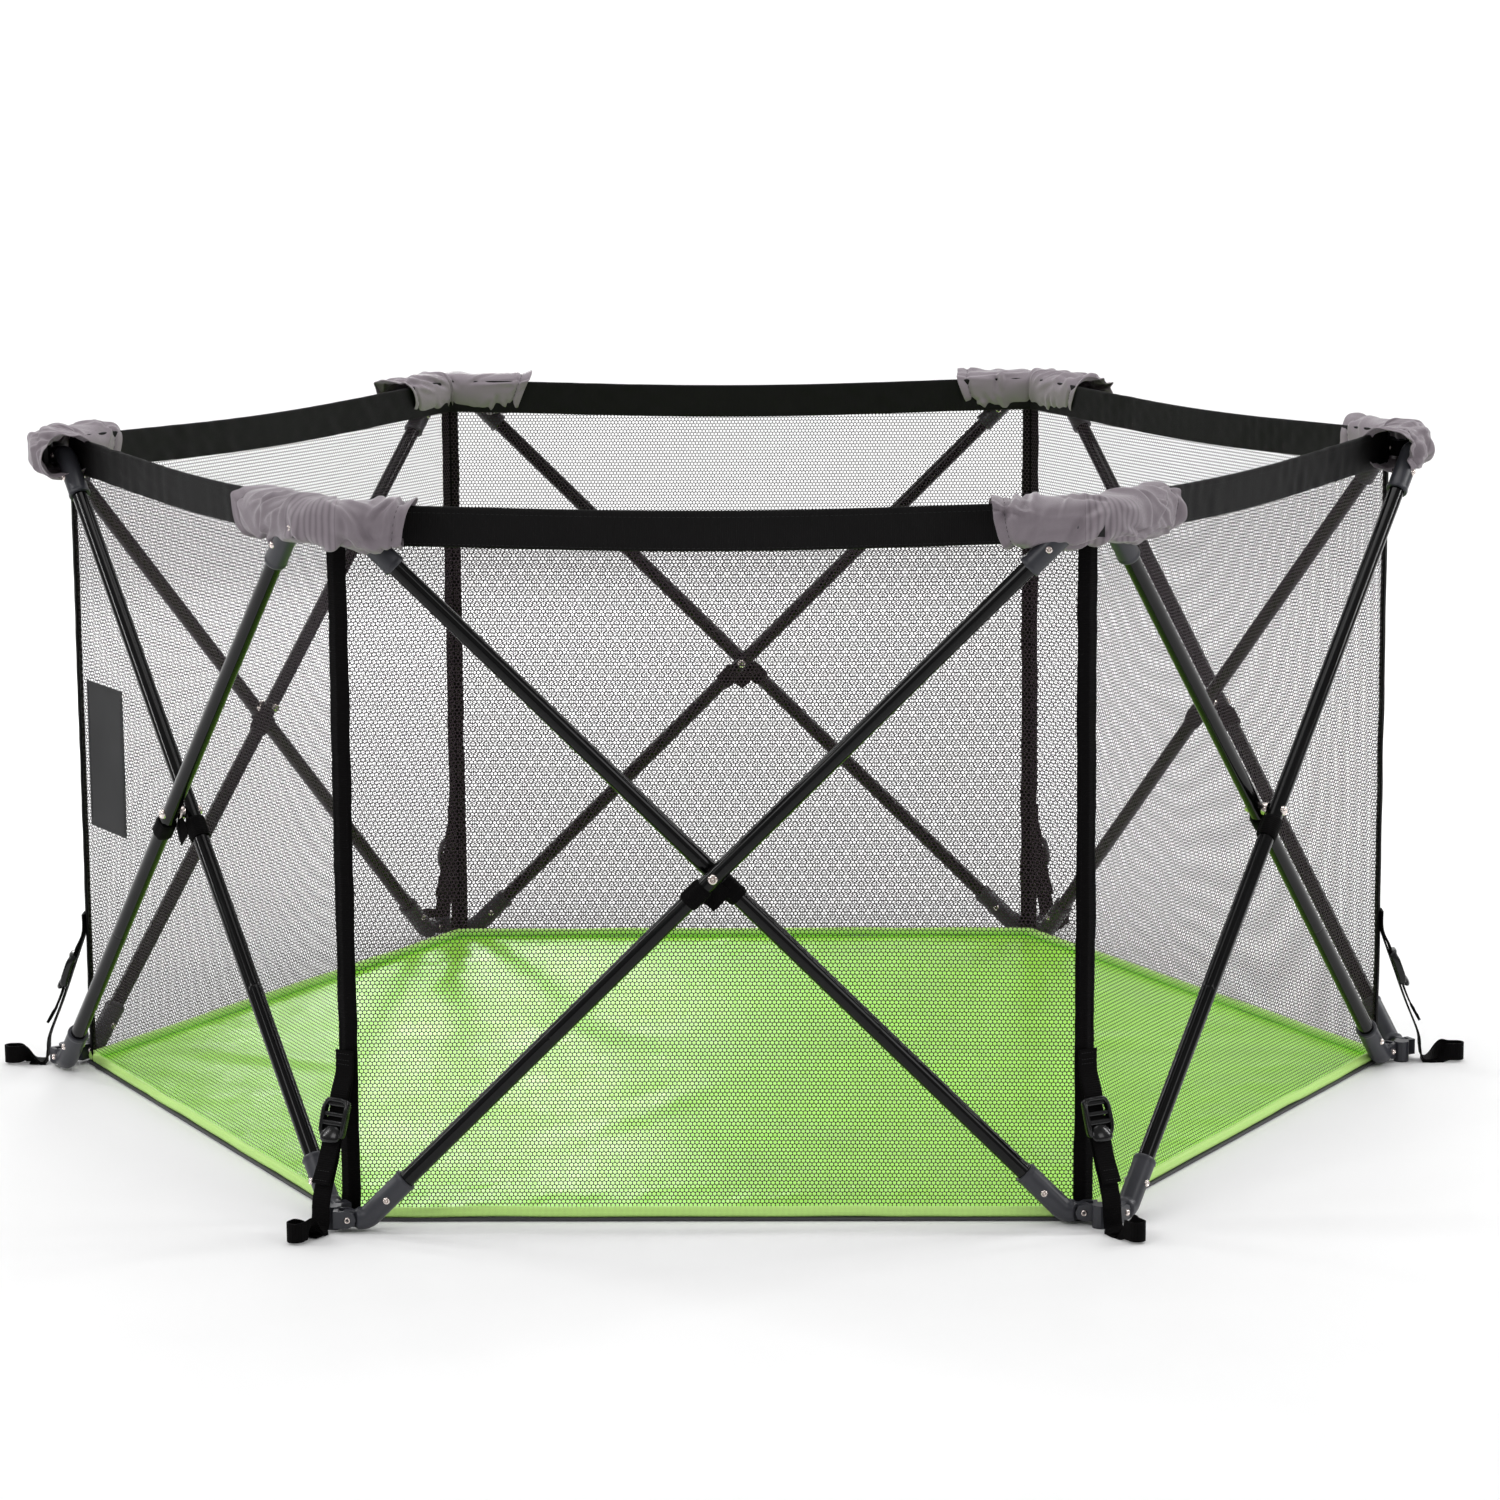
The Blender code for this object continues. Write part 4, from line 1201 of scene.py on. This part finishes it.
class PLAYYARD_OT_straps(bpy.types.Operator):
    """Corner straps, the tabs and tails at their buckles, and the stake loops on the ground"""

    bl_idname = "playyard.straps"
    bl_label = "Straps and loops"

    def execute(self, context):
        sizes = context.scene.play_yard_sizes
        web, thread = finish("webbing"), finish("thread")
        wide, thick = sizes.strap_width, sizes.strap_thickness
        line = strap_line()
        for i in range(SIDES):
            _, across = hub_axes(i)
            path = at_hub(i, line[:, 0], 0.0004 * ripple(line[:, 1], 0, 300 + i, 0.05), line[:, 1])
            inside = smooth(line[:, 1], STRAP_TOP - 0.02, STRAP_TOP)
            narrow = 1 - 0.2 * inside
            section = band(wide, thick, 9)[None] * np.stack([narrow, 1 - 0.3 * inside], -1)[:, None]
            rings = swept(path, across, upright(path, across), section)
            strap = piece(
                f"strap_{i + 1}", skin(rings), web, f"foot_hub_{i + 1}",
                replaces=[f"foot_strap_{i + 1}"],
            )
            self.tab(i, web, thread, wide, thick)
            self.tail(i, web, thread, wide, thick)
            self.loop(i, web, wide, thick)
        return {"FINISHED"}

    def tab(self, i, web, thread, wide, thick):
        """The doubled webbing sewn to the tub's corner that holds the buckle's top bar."""
        radial, across = hub_axes(i)
        near = 0.0028
        points = [on_slant(i, -0.014, 0, near), on_slant(i, -0.026, 0, near + 0.0006)]
        corner = -(RING - TUB_CORNER) + 0.0047
        points += [at_hub(i, corner + 0.002, 0, STRAP_TOP - 0.012)]
        points += [at_hub(i, corner, 0, STRAP_TOP + up) for up in (-0.002, 0.012)]
        path = curve_through(np.array(points), 34)
        rings = swept(path, across, upright(path, across), band(wide, 2 * thick * 0.8, 9))
        made = piece(f"buckle_tab_{i + 1}", skin(rings), web, f"top_hub_{i + 1}")
        rows = []
        for up in (STRAP_TOP - 0.001, STRAP_TOP + 0.003, STRAP_TOP + 0.009):
            ends = [at_hub(i, corner + 0.0012, side * (wide / 2 - 0.002), up) for side in (-1, 1)]
            rows += stitches(np.linspace(*ends, 6), radial, length=0.002, gap=0.0007)
        piece(f"buckle_tab_stitches_{i + 1}", rows, thread, f"top_hub_{i + 1}")

    def tail(self, i, web, thread, wide, thick):
        """The strap's free end below the buckle, turned back on itself and sewn."""
        radial, across = hub_axes(i)
        at = np.array([-0.002, 0.012, 0.026, 0.042, 0.060])
        out = np.array([0.0030, 0.0042, 0.0040, 0.0050, 0.0078]) + 0.0006 * math.sin(2.4 * i)
        path = curve_through(on_slant(i, at, 0, out), 50)
        along = running(path)
        fold = smooth(along, along[-1] - 0.016, along[-1] - 0.0145)
        section = band(wide - 0.0006, thick, 9)[None] * np.stack([1 + 0 * fold, 1 + 0.9 * fold], -1)[:, None]
        rings = swept(path, across, upright(path, across), section)
        made = piece(f"strap_tail_{i + 1}", skin(rings), web, f"top_hub_{i + 1}")
        rows = []
        face = upright(path, across)
        for back in (0.003, 0.0125):
            k = int(np.argmin(np.abs(along - (along[-1] - back))))
            out_way = face[k] if face[k] @ radial > 0 else -face[k]
            seat = path[k] + out_way * thick * 0.98
            ends = [seat + side * (wide / 2 - 0.003) * across for side in (-1, 1)]
            rows += stitches(np.linspace(*ends, 6), out_way, length=0.002, gap=0.0007)
        piece(f"strap_tail_stitches_{i + 1}", rows, thread, f"top_hub_{i + 1}")

    def loop(self, i, web, wide, thick):
        """The stake loop: both legs start flat on the ground, twist on edge and meet in a round end.

        The centre line is a teardrop in plan. Its legs lie one on the other at the bracket, where
        the frame across them is turned by 90 degrees, and side by side further out.
        """
        radial, across = hub_axes(i)
        start, end, half = STRAP_FOOT + 0.004, STRAP_FOOT + LOOP_LENGTH - 0.0025, 0.0072
        out = np.linspace(0, 1, 40)
        x = start + (end - half - start) * out
        gap = 0.0009 + (half - 0.0009) * smooth(out, 0.12, 0.85)
        t = np.linspace(0, math.pi, 25)[1:-1]
        x = np.concatenate([x, end - half + half * np.sin(t), x[::-1]])
        gap = np.concatenate([gap, half * np.cos(t), -gap[::-1]])
        twist = (math.pi / 2) * (1 - smooth(x, start + 0.004, start + 0.030))
        height = 0.002 + 0.0092 * np.cos(twist)
        sway = 0.0015 * math.sin(1.7 * i) * smooth(x, start, end)
        across_at = gap * np.cos(twist) + sway
        up = height + gap * np.sin(twist)
        path = at_hub(i, x, across_at, up)
        tall = 0.018 + 0.002 * np.sin(twist)
        width_way = np.sin(twist)[:, None] * across + np.cos(twist)[:, None] * UP
        normal = np.cos(twist)[:, None] * across - np.sin(twist)[:, None] * UP
        tangent = np.gradient(path, axis=0)
        facing = np.cross(tangent, width_way)
        facing /= np.linalg.norm(facing, axis=1, keepdims=True)
        facing = np.where(np.linalg.norm(tangent, axis=1, keepdims=True) > 0, facing, normal)
        section = band(1.0, thick, 9)[None] * np.stack([tall, np.ones(len(x))], -1)[:, None]
        rings = swept(path, width_way, facing, section)
        made = piece(f"stake_loop_{i + 1}", skin(rings), web, f"foot_hub_{i + 1}")


class PLAYYARD_OT_buckles(bpy.types.Operator):
    """Ladder-lock buckles: a rounded frame, three bars with webbing between, and a thumb tab"""

    bl_idname = "playyard.buckles"
    bl_label = "Buckles"

    def execute(self, context):
        plastic = finish("buckle plastic")
        for i in range(SIDES):
            radial, across = hub_axes(i)
            down, square = slant()
            blocks = self.surround(i)
            for at, out, thick in BUCKLE_BARS:
                path = on_slant(i, at, np.linspace(-0.0118, 0.0118, 9), out)
                slope = down[0] * radial + down[1] * UP
                face = square[0] * radial + square[1] * UP
                blocks += skin(swept(path, slope, face, oval(thick, 0.0017, 2.6, 18)))
            blocks += self.thumb(i)
            piece(f"buckle_{i + 1}", blocks, plastic, f"top_hub_{i + 1}")
        return {"FINISHED"}

    def surround(self, i):
        """The frame: an oval bar round a rounded rectangle, the section leaning out at the sides."""
        t = np.linspace(0, 2 * math.pi, 72, endpoint=False)
        line = oval(0.0170, 0.0122, 5.0, 72)
        lift = 0.0036 + 0.0012 * np.cos(2 * t) ** 2
        path = on_slant(i, line[:, 0] - 0.001, line[:, 1], lift)
        inwards = path.mean(0) - path
        inwards /= np.linalg.norm(inwards, axis=1, keepdims=True)
        radial, _ = hub_axes(i)
        _, square = slant()
        face = square[0] * radial + square[1] * UP
        rings = swept(path, inwards, face, oval(0.0024, 0.0040, 2.8, 18))
        closed = np.concatenate([rings, rings[:1]])
        return [grid_block(closed, grid_uv(closed, True), True)]

    def thumb(self, i):
        """The thumb tab: a bulbous flared lip, an ellipsoid that widens and lifts to its end."""
        round_it = np.linspace(0, 2 * math.pi, 28, endpoint=False)
        u, v = np.meshgrid(np.linspace(0, math.pi, 17), round_it, indexing="ij")
        run = -np.cos(u)
        wide = np.sin(u) ** 0.55 * (0.0105 + 0.002 * run)
        deep = np.sin(u) ** 0.8 * (0.0038 + 0.0008 * run)
        at = 0.0135 + 0.0085 * run
        out = 0.0062 + 0.0016 * run + deep * np.sin(v)
        points = on_slant(i, at + 0 * v, wide * np.cos(v), out)
        return [grid_block(points, grid_uv(points, True), True)]


class PLAYYARD_OT_label(bpy.types.Operator):
    """A blank care patch sewn inside the left front wall"""

    bl_idname = "playyard.label"
    bl_label = "Blank patch"

    def execute(self, context):
        sizes = context.scene.play_yard_sizes
        patch, thread = finish("blank label"), finish("thread")
        i, reach = SIDES - 1, SIDE / 2 - CORNER_INSET
        low, high, near, far = 0.262, 0.415, -0.93 * reach, -0.66 * reach
        along, up = np.meshgrid(np.linspace(near, far, 12), np.linspace(low, high, 16), indexing="ij")
        bow = wall_bow(np.abs(along) / reach, up, sizes.net_hollow)
        points = on_panel(i, along, NET_PLANE + bow + 0.0022, up)
        made = piece(
            "blank_patch", [grid_block(points, grid_uv(points))], patch, top_hub(i, 0),
            away_from=(0, 0, TOP_PIN / 2),
        )
        thicken(made, 0.0008)
        gather(made)
        lines = []
        inset = 0.004
        border = self.border(i, near + inset, far - inset, low + inset, high - inset, reach, sizes.net_hollow)
        for line in border:
            lines += stitches(line, OUTWARD[i])
        sewn = piece("blank_patch_stitches", lines, thread, top_hub(i, 0))
        gather(sewn)
        return {"FINISHED"}

    def border(self, i, near, far, low, high, reach, hollow):
        """The four sides of the patch's seam, just proud of its face."""
        corners = [(near, low), (far, low), (far, high), (near, high), (near, low)]
        lines = []
        for a, b in zip(corners, corners[1:]):
            along, up = np.linspace(a[0], b[0], 14), np.linspace(a[1], b[1], 14)
            bow = wall_bow(np.abs(along) / reach, up, hollow)
            lines.append(on_panel(i, along, NET_PLANE + bow + 0.0027, up))
        return lines


LIGHTS = (  # name, place, width and height, power in watts
    ("key", (-2.6, -3.4, 3.4), (2.2, 1.8), 50),
    ("fill", (3.2, -3.0, 2.6), (1.6, 1.8), 26),
    ("top", (0.0, 0.5, 4.4), (3.4, 3.4), 84),
    ("right strip", (3.3, -0.2, 2.1), (0.16, 1.7), 26),
    ("left strip", (-3.3, -0.6, 2.1), (0.16, 1.7), 22),
    ("gloss", (-0.58, 3.6, 1.12), (0.8, 0.2), 13),
    ("backdrop left", (-4.5, 2.5, 3.2), (1.5, 2.5), 160),
    ("backdrop right", (4.5, 2.5, 3.2), (1.5, 2.5), 160),
)


class PLAYYARD_OT_stage(bpy.types.Operator):
    """A pale studio sweep, soft lights and the camera"""

    bl_idname = "playyard.stage"
    bl_label = "Stage"

    def execute(self, context):
        self.sweep()
        for name, place, size, power in LIGHTS:
            self.light(name, place, size, power)
        context.scene.view_settings.view_transform = "Standard"
        self.world()
        self.camera(context)
        return {"FINISHED"}

    def sweep(self):
        """Floor and backdrop in one sheet: flat, then a quarter turn, then upright."""
        t = np.linspace(0, math.pi / 2, 14)
        y = np.concatenate([[-9], 5 + 2 * np.sin(t), [7]])
        z = np.concatenate([[0], 2 - 2 * np.cos(t), [9]])
        x = np.array([-14, 14])
        points = np.stack(np.broadcast_arrays(x[None], y[:, None], z[:, None]), -1)
        ground = bpy.context.scene.play_yard_colours.ground
        paper = moulded("studio paper", ground, 0.7, fine=60, variation=0.02)
        sheet = make_mesh("studio_sweep", [grid_block(points, points[..., :2])], (0, 0, -9))
        made = bpy.data.objects.new("studio_sweep", sheet)
        made.data.materials.append(paper)
        bpy.context.scene.collection.objects.link(made)

    def light(self, name, place, size, power):
        lamp = bpy.data.lights.new(name, "AREA")
        lamp.shape = "RECTANGLE"
        lamp.size, lamp.size_y = size
        lamp.energy = power
        holder = bpy.data.objects.new(name, lamp)
        holder.location = place
        aim = Vector((0, 6.5, 1.6) if name.startswith("backdrop") else (0, 0, 0.3)) - Vector(place)
        holder.rotation_euler = aim.to_track_quat("-Z", "Y").to_euler()
        holder.visible_camera = False
        bpy.context.scene.collection.objects.link(holder)

    def world(self):
        world = bpy.data.worlds.new("studio air")
        world.use_nodes = True
        world.node_tree.nodes["Background"].inputs["Color"].default_value = (1, 1, 1, 1)
        world.node_tree.nodes["Background"].inputs["Strength"].default_value = 0.3
        bpy.context.scene.world = world

    def camera(self, context):
        lens = bpy.data.cameras.new("camera")
        lens.lens, lens.sensor_width = 104.45, 36.0
        holder = bpy.data.objects.new("camera", lens)
        bpy.context.scene.collection.objects.link(holder)
        pitch, yaw, roll = math.radians(10.293), math.radians(1.189), math.radians(-0.398)
        level = math.cos(pitch)
        forward = Vector((-math.sin(yaw) * level, math.cos(yaw) * level, -math.sin(pitch)))
        right = forward.cross(Vector((0, 0, 1))).normalized()
        up = right.cross(forward)
        turned_right = right * math.cos(roll) + up * math.sin(roll)
        turned_up = up * math.cos(roll) - right * math.sin(roll)
        holder.matrix_world = Matrix((
            (*turned_right, 0), (*turned_up, 0), (*(-forward), 0), (0.1140, -4.4649, 1.1457, 1),
        )).transposed()
        context.scene.camera = holder


class PLAYYARD_PT_panel(bpy.types.Panel):
    """Every step of the build, and its settings"""

    bl_idname = "PLAYYARD_PT_panel"
    bl_label = "Travel Play Yard"
    bl_space_type = "VIEW_3D"
    bl_region_type = "UI"
    bl_category = "Play Yard"

    def draw(self, context):
        for operator in OPERATORS:
            self.layout.operator(operator.bl_idname)
        for settings in (context.scene.play_yard_sizes, context.scene.play_yard_colours):
            for key in settings.__annotations__:
                self.layout.prop(settings, key)


OPERATORS = (
    PLAYYARD_OT_stage,
    PLAYYARD_OT_tubes,
    PLAYYARD_OT_elbows,
    PLAYYARD_OT_crossings,
    PLAYYARD_OT_brackets,
    PLAYYARD_OT_nets,
    PLAYYARD_OT_edging,
    PLAYYARD_OT_bindings,
    PLAYYARD_OT_floor,
    PLAYYARD_OT_piping,
    PLAYYARD_OT_sleeves,
    PLAYYARD_OT_straps,
    PLAYYARD_OT_buckles,
    PLAYYARD_OT_label,
)
SETTINGS = (PLAYYARD_PG_sizes, PLAYYARD_PG_colours)


def register():
    for made in (*SETTINGS, *OPERATORS, PLAYYARD_PT_panel):
        bpy.utils.register_class(made)
    bpy.types.Scene.play_yard_sizes = bpy.props.PointerProperty(type=PLAYYARD_PG_sizes)
    bpy.types.Scene.play_yard_colours = bpy.props.PointerProperty(type=PLAYYARD_PG_colours)


def unregister():
    del bpy.types.Scene.play_yard_colours
    del bpy.types.Scene.play_yard_sizes
    for made in (PLAYYARD_PT_panel, *reversed(OPERATORS), *reversed(SETTINGS)):
        bpy.utils.unregister_class(made)


def main():
    register()
    for operator in OPERATORS:
        group, step = operator.bl_idname.split(".")
        getattr(getattr(bpy.ops, group), step)()


if __name__ == "__main__":
    main()
